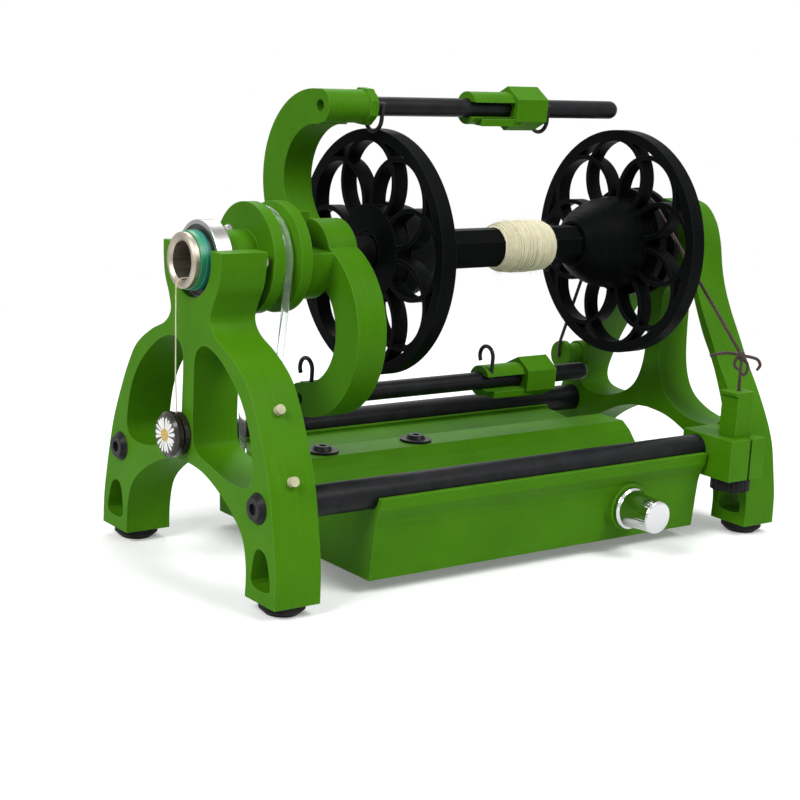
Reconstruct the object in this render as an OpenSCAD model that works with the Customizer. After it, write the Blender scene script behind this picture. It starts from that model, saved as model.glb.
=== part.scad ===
// Electric spinning wheel with a belt-driven flyer, a free bobbin and a cord brake.
// X runs along the spin axis from the orifice to the rear, Z is up, Z = 0 is the table.
// Stations are counted from the front face of the front upright and from the spin axis, and
// each piece is then moved so that the origin is the middle of the whole footprint.

/* [Frame] */
// Height of the spin axis above the table
axis_h = 130; // [124:1:150]
// Thickness of the front upright
front_t = 21; // [17:0.5:26]
// Thickness of the rear upright
rear_t = 19; // [15:0.5:26]
// Diameter of the base rods
base_rod_d = 12.7; // [9:0.1:13]
// Distance of each base rod from the middle plane
base_rod_y = 55; // [54:0.5:62]
// Height of the base rods above the table
base_rod_z = 42; // [41:0.5:44]
// Depth of wall that closes each base rod socket
socket_wall = 6; // [4:0.5:9]
// Thickness of the rubber feet
foot_t = 5; // [3:0.5:8]
// Half width of the web in the middle of each upright
web_half = 4.3; // [3:0.1:6]

/* [Bearings] */
// Outside diameter of the front bearing
bearing_d = 32; // [31:0.5:33]
// Bore of the front bearing
bearing_bore = 20; // [18:0.5:21]
// Width of the front bearing
bearing_w = 7; // [6:0.5:9]
// Outside diameter of the rear bearing
rear_bearing_d = 22; // [20:0.5:24]
// Width of the rear bearing
rear_bearing_w = 7; // [5:0.5:9]
// Diameter of the bobbin axle
axle_d = 8; // [6:0.1:8.4]

/* [Flyer] */
// Bore that the yarn enters through
orifice_d = 15.6; // [12:0.2:15.8]
// Diameter of the flange on the orifice tube
orifice_flange_d = 22.5; // [21.5:0.5:26]
// Outside diameter of the whorl
whorl_d = 45.4; // [44:0.2:50]
// Width of the whorl
whorl_w = 18; // [17:0.5:22]
// Free space between the front upright and the whorl
whorl_gap = 3.5; // [3:0.5:10]
// Length of the boss between the whorl and the flyer arms
boss_l = 13.5; // [13:0.5:18]
// Thickness of the flyer arms
yoke_t = 14; // [11:0.5:18]
// Distance of the flyer rods from the spin axis
flyer_r = 61.5; // [60.5:0.5:66]
// Diameter of the flyer rods
flyer_rod_d = 8; // [6:0.2:8.6]
// Angle at which the flyer rests
flyer_rest = 3; // [0:1:20]
// Length of each sliding clip
clip_l = 39; // [34:1:44]
// Place of the top clip along its rod
clip_top_x = 132; // [125:1:140]
// Place of the bottom clip along its rod
clip_bottom_x = 154; // [150:1:158]
// Thickness of the bent guide wires
wire_d = 1.8; // [1.4:0.1:2.2]

/* [Bobbin] */
// Length of the bobbin over its flanges
bobbin_l = 149; // [140:1:160]
// Diameter of the bobbin flanges
flange_d = 104; // [98:0.5:106]
// Thickness of the flanges
flange_t = 7; // [5:0.5:9]
// Number of petal rings in each flange
petals = 8; // [8:1:9]
// Diameter across the corners of the core
core_d = 18; // [16.6:0.2:20]
// Diameter of each domed hub
hub_d = 43; // [40:0.5:46]
// Length of each domed hub
hub_l = 30; // [24:1:36]
// Width of the brake pulley
brake_w = 11; // [9:0.5:11.5]
// Diameter at the bottom of the brake groove
brake_groove_d = 44; // [40:0.5:45]
// Free space between the flyer arms and the bobbin
bobbin_gap = 15.5; // [14:0.5:20]
// Free space between the bobbin and the rear upright
rear_gap = 24.5; // [24:0.5:30]
// Length of the yarn winding
winding_l = 30; // [24:1:36]
// Distance from the front flange to the winding
winding_x = 69; // [60:1:76]
// Thickness of the yarn
yarn_d = 0.8; // [0.7:0.05:0.8]

/* [Housing] */
// Free space between the front upright and the housing
housing_front_gap = 31.5; // [30:0.5:34]
// Free space between the housing and the rear upright
housing_rear_gap = 23.5; // [23:0.5:28]
// Thickness of the housing walls
wall = 2.4; // [1.6:0.1:3]
// Height of the underside above the table
housing_z = 6; // [5:0.5:8]
// Height of the hump above the table
hump_z = 45; // [44:0.5:48]
// Diameter of the motor
motor_d = 28; // [24:0.5:29]
// Length of the motor
motor_l = 42; // [34:1:46]
// Length of the speed knob
knob_l = 17.7; // [14:0.1:20]
// Distance of the speed knob from the rear end of the housing
knob_from_end = 45; // [40:1:50]

/* [Brake] */
// Diameter of the thumbwheel
thumb_d = 18; // [16:0.5:20]
// Thickness of the thumbwheel
thumb_t = 5.5; // [4:0.1:6]
// Side of the square tension post
post_side = 10; // [9:0.2:10.4]
// Height of the post above its clamp
post_up = 21; // [20:0.5:24]

/* [Hidden] */
$fn = 96;
eps = 0.01;
fit = 0.05;
seat_gap = 0.2;
green = "#5aa02c";
dark = "#1c1c1e";
steel = "#c4c6c8";

// Stations along the spin axis
whorl_x = front_t + whorl_gap;
boss_x = whorl_x + whorl_w;
yoke_x = boss_x + boss_l;
yoke_back = yoke_x + yoke_t;
bobbin_x = yoke_back + bobbin_gap;
bobbin_end = bobbin_x + bobbin_l;
brake_end = bobbin_end + brake_w;
rear_x = bobbin_end + rear_gap;
belt_x = whorl_x + whorl_w / 2;

// Front bearing and cradle
bearing_r = bearing_d / 2;
cradle_lip = 2.6;
cradle_wall = 6.6;
cradle_top = axis_h + 5.5;
seat_x0 = cradle_lip;
seat_x1 = seat_x0 + bearing_w + seat_gap;
hub_r = bearing_bore / 2 + 1.5;
bore_r = orifice_d / 2;
tube_r = bore_r + 0.7;
flange_face = -5.3;
flange_back = flange_face + 2.8;
rear_seat_r = rear_bearing_d / 2;

// Flyer
rod_r = flyer_rod_d / 2;
axle_r = axle_d / 2;
axle_x0 = boss_x + boss_l - 1.5;
axle_x1 = rear_x + rear_bearing_w + 1.5;
rod_x0 = yoke_x + 5;
rod_x1 = bobbin_end - flange_t / 2 - 12;
arm_half = 7.5;
tip_r = rod_r + 2.8;
wire_r = wire_d / 2;
guide_l = 10.5;
flange_room = 1.2;
guide_x = yoke_back + seat_gap;
guide_end = guide_x + guide_l;

// Whorl, belt and motor
whorl_r = whorl_d / 2;
groove_r = whorl_r - 4.8;
belt_r = 1.5;
belt_ring = groove_r + belt_r + 0.15;
motor_pulley_r = 9;
motor_groove_r = 5.9;
motor_ring = motor_groove_r + belt_r + 0.15;
motor_pulley_w = 12;
motor_z = hump_z - wall - 2.6 - motor_d / 2;
motor_shaft_r = 1.6;
belt_span = axis_h - motor_z;
belt_tilt = asin((belt_ring - motor_ring) / belt_span);

// Housing
housing_x0 = front_t + housing_front_gap;
housing_x1 = rear_x - housing_rear_gap;
seam_x = (housing_x0 + housing_x1) / 2 - 5;
end_wall = 3;
base_rod_r = base_rod_d / 2;
trough_r = base_rod_r + 0.15;
lip_y = base_rod_y + trough_r + wall;
lip_z = base_rod_z - 0.5;
cover_t = 3;
cover_z = housing_z + cover_t;
motor_x0 = housing_x0 + end_wall;
motor_x1 = motor_x0 + motor_l;
clamp_x = motor_x0 + 5.5;
board_x = motor_x1 + 6.5;
board_z = cover_z + 21;
bracket_x = board_x + 7;
bracket_w = 12;
knob_x = housing_x1 - knob_from_end;
knob_z = housing_z + 15;
knob_face_y = lip_y - 1.5;
knob_boss_y = lip_y - 9;
skirt_y = knob_face_y + 0.4;

// Brake
block_l = 22;
block_x0 = rear_x - block_l;
post_x = rear_x - block_l / 2;
post_y = base_rod_y + base_rod_r + 1.6 + post_side / 2;
block_top = base_rod_z + base_rod_r + 1.2;
block_h = 19;
block_z = block_top - block_h;
block_in = base_rod_y - base_rod_r - 2;
block_out = post_y + post_side / 2 + 4;
thumb_z = block_z - thumb_t - 0.3;
thread_r = 2.5;
thread_top = block_top + 6;
post_z0 = block_z + 4;
post_top = block_top + post_up;
anchor_y = 49;
anchor_z = 66;
anchor_l = 15;
brake_x = bobbin_end + brake_w / 2;
brake_groove_r = brake_groove_d / 2;
brake_rim_r = brake_groove_r + 3.2;
cord_r = 0.8;
knot_up = 16;
cord_ring = brake_groove_r + cord_r + 0.15;

// Bobbin and yarn
flange_r = flange_d / 2;
rim_w = 4.6;
petal_out = flange_r - rim_w + 0.6;
petal_r = 18.3;
petal_w = 2;
dome_r = hub_d / 2;
core_r = core_d / 2;
bush_r = axle_r + 2;
wind_x0 = bobbin_x + winding_x;
wind_r = core_r + 0.9;
wind_bulge = 1.1;
loops = 22;

// Magnet button
button_r = 9;
button_y = 5;
button_z = 58.5;
button_base_t = 2.6;
button_cap_t = 3.4;
button_gap = yarn_d + 0.15;
daisy_petals = 16;

// Middle of the footprint, from the button, the rear screws, the legs and the knob
screw_head = 2.4;
daisy_t = 0.85;
leg_out = base_rod_y + 14.3;
front_most = button_base_t + button_gap + button_cap_t + daisy_t;
rear_most = rear_x + rear_t + screw_head;
middle = [(rear_most - front_most) / 2, (leg_out - skirt_y - knob_l) / 2, 0];

// Smooth curves through a few chosen points
function blend4(a, b, c, d, t) =
    0.5 * (2 * b + (c - a) * t + (2 * a - 5 * b + 4 * c - d) * t * t
        + (3 * b - a - 3 * c + d) * t * t * t);
function curve(p, n = 5) = concat(
    [for (i = [0 : len(p) - 2], k = [0 : n - 1])
        blend4(p[max(i - 1, 0)], p[i], p[i + 1], p[min(i + 2, len(p) - 1)], k / n)],
    [p[len(p) - 1]]);
function ring_curve(p, n = 5) = let (m = len(p))
    [for (i = [0 : m - 1], k = [0 : n - 1])
        blend4(p[(i + m - 1) % m], p[i], p[(i + 1) % m], p[(i + 2) % m], k / n)];
function mirrored(p) = concat(p, [for (i = [len(p) - 1 : -1 : 0]) [-p[i][0], p[i][1]]]);

// Each piece is drawn about the stations and put down about the middle
module placed() {
    translate(-middle) children();
}

// A drawing in Y and Z pushed along X
module along_x(x, len) {
    translate([x, 0, 0]) rotate([90, 0, 90]) linear_extrude(len) children();
}

// A round bar along X on the axis at Y, Z
module bar_x(x, len, r, y = 0, z = 0) {
    translate([x, y, z]) rotate([0, 90, 0]) cylinder(h = len, r = r);
}

// A round bar along Y that grows towards -Y
module bar_y(y, len, r, x, z, r2 = 0) {
    translate([x, y, z]) rotate([90, 0, 0]) cylinder(h = len, r1 = r, r2 = r2 > 0 ? r2 : r);
}

// A turned part about the spin axis, drawn as [x, radius]
module turned(points) {
    translate([0, 0, axis_h]) rotate([90, 0, 90]) rotate_extrude()
        polygon([for (p = points) [p[1], p[0]]]);
}

// Everything on the flyer is drawn about the spin axis with its rods upright
module on_flyer() {
    translate([0, 0, axis_h]) rotate([flyer_rest, 0, 0]) children();
}

// A button-head screw whose head sits on x and faces -X
module screw_x(x, y, z, head_r, head_h, shank_r, shank_l) {
    difference() {
        union() {
            translate([x, y, z]) rotate([0, -90, 0])
                cylinder(h = head_h, r1 = head_r, r2 = head_r * 0.72);
            bar_x(x - eps, shank_l, shank_r, y, z);
        }
        translate([x - head_h - eps, y, z]) rotate([0, 90, 0])
            cylinder(h = head_h * 0.7, r = head_r * 0.4, $fn = 6);
    }
}

// Front and rear uprights
function arch() = let (in = base_rod_y - 7)
    curve([[0, 48], [12.5, 46.6], [25, 42], [37, 35], [in - 3, 27], [in, 16], [in, foot_t]]);
function leg_side(top) = let (y = base_rod_y, z = base_rod_z)
    concat([[leg_out, foot_t], [y + 13.9, z - 24], [y + 12, z - 12], [y + 9.6, z]], top);
function front_outline() = let (y = base_rod_y, z = base_rod_z, h = axis_h)
    concat(arch(), curve(leg_side([
        [y + 6.4, z + 12], [y + 1, z + 25], [y - 5, z + 37], [43, h - 41], [31, h - 33],
        [20, h - 28], [bearing_r - 0.6, h - 22.5], [bearing_r + 1, h - 16],
        [bearing_r + 4.6, h - 9], [bearing_r + 6.1, h - 2],
        [bearing_r + cradle_wall, cradle_top]])));
function rear_outline() = let (y = base_rod_y, z = base_rod_z, h = axis_h)
    concat(arch(), curve(leg_side([
        [y + 5, z + 11], [y - 2.5, z + 24], [y - 10.5, z + 36], [38, h - 41], [32, h - 31],
        [27, h - 21], [23.6, h - 11], [21, h + 1], [17, h + 10.5], [10, h + 17.5],
        [0, h + 20]])));
function front_window() = let (w = web_half, y = base_rod_y, h = axis_h)
    ring_curve([[w + 7, h - 32.5], [w + 1.6, h - 36], [w, h - 42], [w, 75], [w + 0.6, 59],
        [w + 4, 53.5], [21, 50], [34, 47.2], [y - 10, 47.5], [y - 5.5, 51], [y - 5, 57],
        [y - 8, 70], [y - 15.5, h - 48], [29, h - 39], [20, h - 34]]);
function rear_window() = let (w = web_half, y = base_rod_y, h = axis_h)
    ring_curve([[18.6, h - 14.5], [13.5, h - 17], [w + 2.2, h - 22], [w, h - 29], [w, 82],
        [w + 1.6, 68], [w + 6, 58], [18, 52], [29.5, 48.2], [y - 14, 48], [y - 7.5, 50.5],
        [y - 6, 57], [y - 11.5, 71], [y - 16.5, h - 49.5], [32.5, h - 40], [26.5, h - 28],
        [22, h - 18]]);
function foot_window() = let (y = base_rod_y)
    ring_curve([[y - 2.4, 11], [y - 2.6, 19], [y - 0.5, 25], [y + 3, 26.5], [y + 7, 24.5],
        [y + 9.4, 18.5], [y + 9.8, 11]], 4);

module upright(x, len, outline, window) {
    along_x(x, len) difference() {
        polygon(mirrored(outline));
        for (side = [0, 1]) mirror([side, 0]) {
            polygon(window);
            polygon(foot_window());
        }
    }
}

module front_upright() {
    placed() color(green) difference() {
        upright(0, front_t, front_outline(), front_window());
        bar_x(-eps, front_t + 2 * eps, bearing_r - 1.1, 0, axis_h);
        bar_x(seat_x0, seat_x1 - seat_x0, bearing_r + fit, 0, axis_h);
        for (y = [-base_rod_y, base_rod_y]) {
            bar_x(socket_wall, front_t, base_rod_r + fit, y, base_rod_z);
            bar_x(-eps, front_t, 2.7, y, base_rod_z);
        }
        pin_places() cylinder(h = 8, r = 2.05, center = true);
    }
}

module rear_upright() {
    placed() color(green) difference() {
        upright(rear_x, rear_t, rear_outline(), rear_window());
        bar_x(rear_x - eps, rear_bearing_w + seat_gap, rear_seat_r + fit, 0, axis_h);
        bar_x(rear_x, rear_t + eps, rear_seat_r - 3, 0, axis_h);
        for (y = [-base_rod_y, base_rod_y]) {
            bar_x(rear_x - eps, rear_t - socket_wall, base_rod_r + fit, y, base_rod_z);
            bar_x(rear_x, rear_t + eps, 2.7, y, base_rod_z);
        }
        bar_x(rear_x - eps, 8, 2.05, anchor_y, anchor_z);
    }
}

module base_rod(side) {
    length = rear_x + rear_t - 2 * socket_wall - 2 * seat_gap;
    placed() color(dark) difference() {
        bar_x(socket_wall + seat_gap, length, base_rod_r, side * base_rod_y, base_rod_z);
        for (x = [socket_wall, rear_x + rear_t - socket_wall - 14])
            bar_x(x, 14, 2.5 + fit, side * base_rod_y, base_rod_z);
    }
}

module rod_end_screws() {
    placed() color("#2a2a2c") for (y = [-base_rod_y, base_rod_y]) {
        screw_x(0, y, base_rod_z, 6.3, screw_head, 2.5, socket_wall + 12);
        translate([rear_x + rear_t, 0, 0]) mirror([1, 0, 0])
            screw_x(0, y, base_rod_z, 6.3, screw_head, 2.5, socket_wall + 12);
    }
}

module rubber_foot(x, side) {
    placed() color("#151515") translate([x, side * (base_rod_y + 3.6), 0]) {
        cylinder(h = 2.4, r1 = 6.6, r2 = 9.3);
        translate([0, 0, 2.4]) cylinder(h = foot_t - 2.4, r = 9.3);
    }
}

// Two pins stand square to the curved outside of the right front leg
module pin_places() {
    translate([front_t / 2, -(base_rod_y - 4.6), base_rod_z + 36.5])
        rotate([90 - 27, 0, 0]) children();
    translate([front_t / 2, -(base_rod_y + 6.9), base_rod_z + 11])
        rotate([90 - 16, 0, 0]) children();
}

module leg_pins() {
    placed() color("#cfc9a8") pin_places() translate([0, 0, -3.8]) cylinder(h = 6.2, r = 2);
}

module magnet_button_base() {
    placed() color("#35302c") bar_x(-button_base_t, button_base_t, button_r, button_y, button_z);
}

module magnet_button_cap() {
    rim = 1.2;
    placed() color("#35302c") {
        x = -button_base_t - button_gap - button_cap_t;
        bar_x(x + 1, button_cap_t + button_gap - 1, 3.5, button_y, button_z);
        bar_x(x + rim, button_cap_t - rim, button_r + 0.4, button_y, button_z);
        translate([x, button_y, button_z]) rotate([0, 90, 0])
            cylinder(h = rim, r1 = button_r - 0.9, r2 = button_r + 0.4);
    }
}

module button_daisy() {
    x = -button_base_t - button_gap - button_cap_t - 0.35;
    placed() translate([0, button_y, button_z]) {
        color("white") along_x(x, 0.35) for (i = [0 : daisy_petals - 1])
            rotate(i * 360 / daisy_petals)
                polygon([[2.2, -0.5], [5.4, -1.25], [7.4, -0.9], [7.9, 0], [7.4, 0.9],
                    [5.4, 1.25], [2.2, 0.5]]);
        color("gold") bar_x(x - 0.5, daisy_t, 2.6);
    }
}

// Housing in section: a hump over the motor, wings that hang on the rods, slanted sides
hump_half = 8;
head_h = 2.8;
function skin() = [[hump_half, hump_z], [13, hump_z - 3.4], [17.5, 36.5], [45, base_rod_z - 2.2]];
module housing_outer() {
    polygon(mirrored(concat([[0, hump_z]], skin(), [[base_rod_y, base_rod_z - 2.2],
        [base_rod_y, lip_z], [lip_y, lip_z], [lip_y - 0.4, lip_z - 5],
        [lip_y - 3.2, lip_z - 10], [lip_y - 4.2, lip_z - 14], [lip_y - 6.2, housing_z],
        [0, housing_z]])));
}
module housing_cavity() {
    w = wall;
    difference() {
        polygon(mirrored([[0, hump_z - w], [hump_half - 0.7, hump_z - w],
            [12.4, hump_z - 3.6 - w], [17.2, 36.3 - w], [45, base_rod_z - 2.3 - w],
            [lip_y - 4.4 - w, lip_z - 9.5], [lip_y - 5 - w, lip_z - 14],
            [lip_y - 6.3 - w, housing_z - 1], [0, housing_z - 1]]));
        rod_circles(trough_r + wall);
    }
}
module rod_circles(r) {
    for (y = [-base_rod_y, base_rod_y]) translate([y, base_rod_z]) circle(r);
}
module housing_section() {
    difference() {
        union() {
            housing_outer();
            intersection() {
                rod_circles(trough_r + wall);
                translate([-lip_y, lip_z - 20]) square([2 * lip_y, 20]);
            }
        }
        rod_circles(trough_r);
        for (side = [-1, 1]) translate([side * base_rod_y - trough_r, base_rod_z])
            square([2 * trough_r, 10]);
    }
}
module housing_shell(x0, x1, wall_x) {
    difference() {
        along_x(x0, x1 - x0) housing_section();
        along_x(max(x0 - eps, wall_x[0]), min(x1, wall_x[1]) - max(x0, wall_x[0]) + 2 * eps)
            housing_cavity();
    }
}
cover_posts = [[housing_x0 + 10, 40], [seam_x - 12, 40], [seam_x + 14, 40], [housing_x1 - 10, 40]];
module cover_post(p, hole) {
    for (side = [-1, 1]) translate([p[0], side * p[1], cover_z]) difference() {
        cylinder(h = base_rod_z - 4 - cover_z, r = 4);
        translate([0, 0, -eps]) cylinder(h = 12, r = hole);
    }
}

module housing_front() {
    placed() color(green) difference() {
        union() {
            housing_shell(housing_x0, seam_x, [motor_x0, seam_x]);
            cover_post(cover_posts[0], 1.55);
            cover_post(cover_posts[1], 1.55);
        }
        bar_x(housing_x0 - eps, 4, 5.1, 0, motor_z);
        for (y = [-9.5, 9.5]) bar_x(housing_x0 - eps, 4, 1.6, y, motor_z);
        for (x = top_screws()) translate([x, 0, hump_z - 5]) cylinder(h = 6, r = 2.1);
    }
}

module housing_rear() {
    placed() color(green) difference() {
        union() {
            housing_shell(seam_x + seat_gap, housing_x1, [seam_x, housing_x1 - end_wall]);
            cover_post(cover_posts[2], 1.55);
            cover_post(cover_posts[3], 1.55);
            bar_y(-knob_boss_y, knob_face_y - knob_boss_y, 10.5, knob_x, knob_z);
        }
        bar_y(-knob_boss_y + eps, 12, 3.6, knob_x, knob_z);
        bar_x(housing_x1 - 4, 5, 5.55, 20, jack_z);
    }
}

module bottom_cover() {
    half = lip_y - 6.3 - wall - 0.25;
    placed() color(green) difference() {
        translate([motor_x0 + seat_gap, -half, housing_z])
            cube([housing_x1 - end_wall - motor_x0 - 2 * seat_gap, 2 * half, cover_t]);
        for (p = cover_posts, side = [-1, 1]) translate([p[0], side * p[1], housing_z - eps]) {
            cylinder(h = 6, r = 1.7);
            cylinder(h = 1.7, r = 3.2);
        }
    }
}

module bottom_cover_screws() {
    placed() color(dark) for (p = cover_posts, side = [-1, 1])
        translate([p[0], side * p[1], housing_z + 0.1]) difference() {
            union() {
                cylinder(h = 1.5, r = 3);
                translate([0, 0, 1.4]) cylinder(h = 10.1, r = 1.5);
            }
            translate([0, 0, -eps]) cylinder(h = 1, r = 1.3, $fn = 6);
        }
}

function top_screws() = [clamp_x + bracket_w / 2, bracket_x + bracket_w / 2];
module housing_top_screws() {
    placed() color("#222226") for (x = top_screws()) translate([x, 0, hump_z]) difference() {
        union() {
            cylinder(h = 0.38 * head_h, r = 7);
            translate([0, 0, 0.36 * head_h]) cylinder(h = 0.64 * head_h, r1 = 4.4, r2 = 3.4);
            translate([0, 0, -4.3]) cylinder(h = 4.8, r = 2);
        }
        translate([0, 0, 0.56 * head_h]) cylinder(h = head_h, r = 1.7, $fn = 6);
    }
}

// Motor and drive
module motor_body() {
    r = motor_d / 2;
    placed() color("#8d9094") difference() {
        union() {
            turned_motor([[motor_x0, 0], [motor_x0, r - 0.8], [motor_x0 + 0.8, r],
                [motor_x1 - 2, r], [motor_x1, r - 2], [motor_x1, 0]]);
            bar_x(motor_x0 - 2.8, 3, 4.9, 0, motor_z);
            bar_x(motor_x1 - eps, 2.5, 4, 0, motor_z);
        }
        bar_x(motor_x0 - 4, 12, motor_shaft_r + fit, 0, motor_z);
        for (y = [-9.5, 9.5]) bar_x(motor_x0 - eps, 4, 1.5 + fit, y, motor_z);
    }
}
module turned_motor(points) {
    translate([0, 0, motor_z - axis_h]) turned(points);
}
module motor_clamp() {
    r = motor_d / 2;
    placed() color(dark) difference() {
        union() {
            bar_x(clamp_x, bracket_w, r + 1.9, 0, motor_z);
            translate([clamp_x, -5, motor_z]) cube([bracket_w, 10, hump_z - wall - motor_z]);
        }
        bar_x(clamp_x - eps, bracket_w + 1, r + fit, 0, motor_z);
        translate([top_screws()[0], 0, motor_z + r]) cylinder(h = 9, r = 2 + fit);
        translate([clamp_x - eps, -r - 3, motor_z - r - 3])
            cube([bracket_w + 1, 2 * r + 6, r - 4]);
    }
}
module motor_screws() {
    placed() color(steel) for (y = [-9.5, 9.5])
        screw_x(housing_x0, y, motor_z, 2.8, 1.7, 1.5, end_wall + 3);
}
module motor_shaft() {
    placed() color(steel) bar_x(belt_x - 6, motor_x0 + 7 - belt_x, motor_shaft_r, 0, motor_z);
}
module motor_pulley() {
    placed() color(dark) difference() {
        turned_motor(concat([[belt_x - motor_pulley_w / 2, 0]],
            groove(belt_x, motor_pulley_w / 2, motor_pulley_r, motor_groove_r, 3.1),
            [[belt_x + motor_pulley_w / 2, 0]]));
        bar_x(belt_x - 7, 20, motor_shaft_r + 0.02, 0, motor_z);
    }
}

// Rim, slanted groove and rim again, as [x, radius]
function groove(x, half, rim, bottom, mouth) =
    [[x - half, rim], [x - mouth, rim], [x - 1.7, bottom], [x + 1.7, bottom],
        [x + mouth, rim], [x + half, rim]];

module drive_belt() {
    lap = 0.05;
    reach = sqrt(pow(belt_span, 2) - pow(belt_ring - motor_ring, 2));
    placed() color("#dfe6e6") {
        belt_arc(axis_h, belt_ring, -belt_tilt, 180 + 2 * belt_tilt);
        belt_arc(motor_z, motor_ring, 180 + belt_tilt, 180 - 2 * belt_tilt);
        for (side = [-1, 1]) translate([belt_x, 0, axis_h]) rotate([-side * belt_tilt, 0, 0])
            translate([0, side * belt_ring, -reach - lap]) cylinder(h = reach + 2 * lap, r = belt_r);
    }
}
module belt_arc(z, r, start, turn) {
    translate([belt_x, 0, z]) rotate([90, 0, 90]) rotate([0, 0, start])
        rotate_extrude(angle = turn) translate([r, 0]) circle(belt_r - 0.02);
}

// Electronics inside the housing
jack_z = housing_z + 17;
module control_board() {
    placed() color("#1f6b3a") {
        translate([board_x, -22, board_z]) cube([60, 44, 1.6]);
        translate([board_x + 30, -16, board_z - 9]) cube([14, 12, 9 + eps]);
        translate([board_x + 48, 8, board_z - 7]) cube([9, 10, 7 + eps]);
        translate([board_x + 20, 12, board_z - 12]) cylinder(h = 12 + eps, r = 5);
    }
}
module board_bracket() {
    z0 = board_z + 1.6;
    placed() color(dark) difference() {
        translate([bracket_x, -5, z0]) cube([bracket_w, 10, hump_z - wall - z0]);
        translate([top_screws()[1], 0, z0 + 1]) cylinder(h = 30, r = 2 + fit);
    }
}
module speed_potentiometer() {
    placed() color("#3c4a63") difference() {
        union() {
            bar_y(-knob_boss_y + 9.4, 9.2, 8, knob_x, knob_z);
            bar_y(-knob_boss_y + 1, knob_face_y - knob_boss_y + 2.2, 3.5, knob_x, knob_z);
        }
        bar_y(-knob_boss_y + 7, 30, 3 + fit, knob_x, knob_z);
    }
}
module potentiometer_shaft() {
    placed() color(steel) bar_y(-knob_boss_y + 5, knob_face_y - knob_boss_y + 16, 3, knob_x, knob_z);
}
module speed_knob() {
    placed() color("#e8e8ea") difference() {
        union() {
            bar_y(-skirt_y, 2.6, 9.4, knob_x, knob_z);
            bar_y(-skirt_y - 2.5, knob_l - 2.5, 8.2, knob_x, knob_z, 7.3);
        }
        bar_y(-skirt_y + eps, 3, 5.5, knob_x, knob_z);
        bar_y(-skirt_y, 12.6, 3 + 0.02, knob_x, knob_z);
    }
}
module power_jack() {
    placed() color(dark) difference() {
        union() {
            bar_x(housing_x1 - 14, 14, 5.5, 20, jack_z);
            bar_x(housing_x1 + 0.1, 1.9, 7, 20, jack_z);
            bar_x(housing_x1 - 1, 1.5, 5.5, 20, jack_z);
        }
        bar_x(housing_x1 - 10, 20, 2.9, 20, jack_z);
    }
    placed() color(steel) bar_x(housing_x1 - 10.5, 10, 1, 20, jack_z);
}

// Front bearing
module front_bearing_outer() {
    x = seat_x0 + 0.1;
    r = bearing_r;
    placed() color(steel) turned([[x, r - 1.8], [x, r - 0.3], [x + 0.3, r], [x + bearing_w - 0.3, r],
        [x + bearing_w, r - 0.3], [x + bearing_w, r - 1.8]]);
    placed() color("#101010") turned([[x + 0.4, bearing_bore / 2 + 1.65], [x + 0.4, r - 1.79],
        [x + bearing_w - 0.4, r - 1.79], [x + bearing_w - 0.4, bearing_bore / 2 + 1.65]]);
}
module front_bearing_inner() {
    x = seat_x0 + 0.1;
    r = bearing_bore / 2;
    placed() color(steel) turned([[x, r], [x, r + 1.4], [x + bearing_w, r + 1.4], [x + bearing_w, r]]);
}

// Orifice, whorl and flyer arms, one behind the other on the same tube
module orifice_tube() {
    f = orifice_flange_d / 2;
    placed() color("#b9b2a6") turned([[flange_face, bore_r + 1.2], [flange_face, f - 1.1],
        [flange_face + 0.8, f], [flange_back, f], [flange_back, tube_r], [boss_x - 2, tube_r],
        [boss_x - 2, bore_r], [flange_face + 1.2, bore_r]]);
}
module orifice_collar() {
    f = orifice_flange_d / 2 + 0.5;
    r = bearing_bore / 2;
    x0 = flange_back + 0.1;
    x1 = (flange_back + seat_x0) / 2;
    placed() color(green) turned([[x0, tube_r + fit], [x0, f], [x1, f], [x1, tube_r + fit]]);
    placed() color("#1f8a7a") turned([[x1, tube_r + fit], [x1, f + 0.3], [seat_x0 - 0.3, f + 0.3],
        [seat_x0 - 0.3, r + 1.3], [seat_x0 + 0.1, r + 1.3], [seat_x0 + 0.1, tube_r + fit]]);
}
module whorl_pulley() {
    spigot = bearing_bore / 2 - 0.02;
    x1 = seat_x0 + bearing_w + 0.15;
    placed() color(green) difference() {
        turned(concat([[seat_x0 + 0.2, tube_r + fit], [seat_x0 + 0.2, spigot], [x1, spigot],
            [x1, hub_r], [whorl_x, hub_r]],
            groove(belt_x, whorl_w / 2, whorl_r, groove_r, 4),
            [[boss_x, tube_r + fit]]));
        on_flyer() whorl_screw_places() bar_x(0, 60, 1.55);
    }
}
module whorl_screw_places() {
    for (a = [175.5, 214.8, 355.5, 34.8]) rotate([a, 0, 0]) translate([0, 15.5, 0]) children();
}
module whorl_screws() {
    placed() color(steel) on_flyer() whorl_screw_places()
        screw_x(whorl_x, 0, 0, 2.8, 2.2, 1.5, whorl_w + 9);
}

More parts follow.
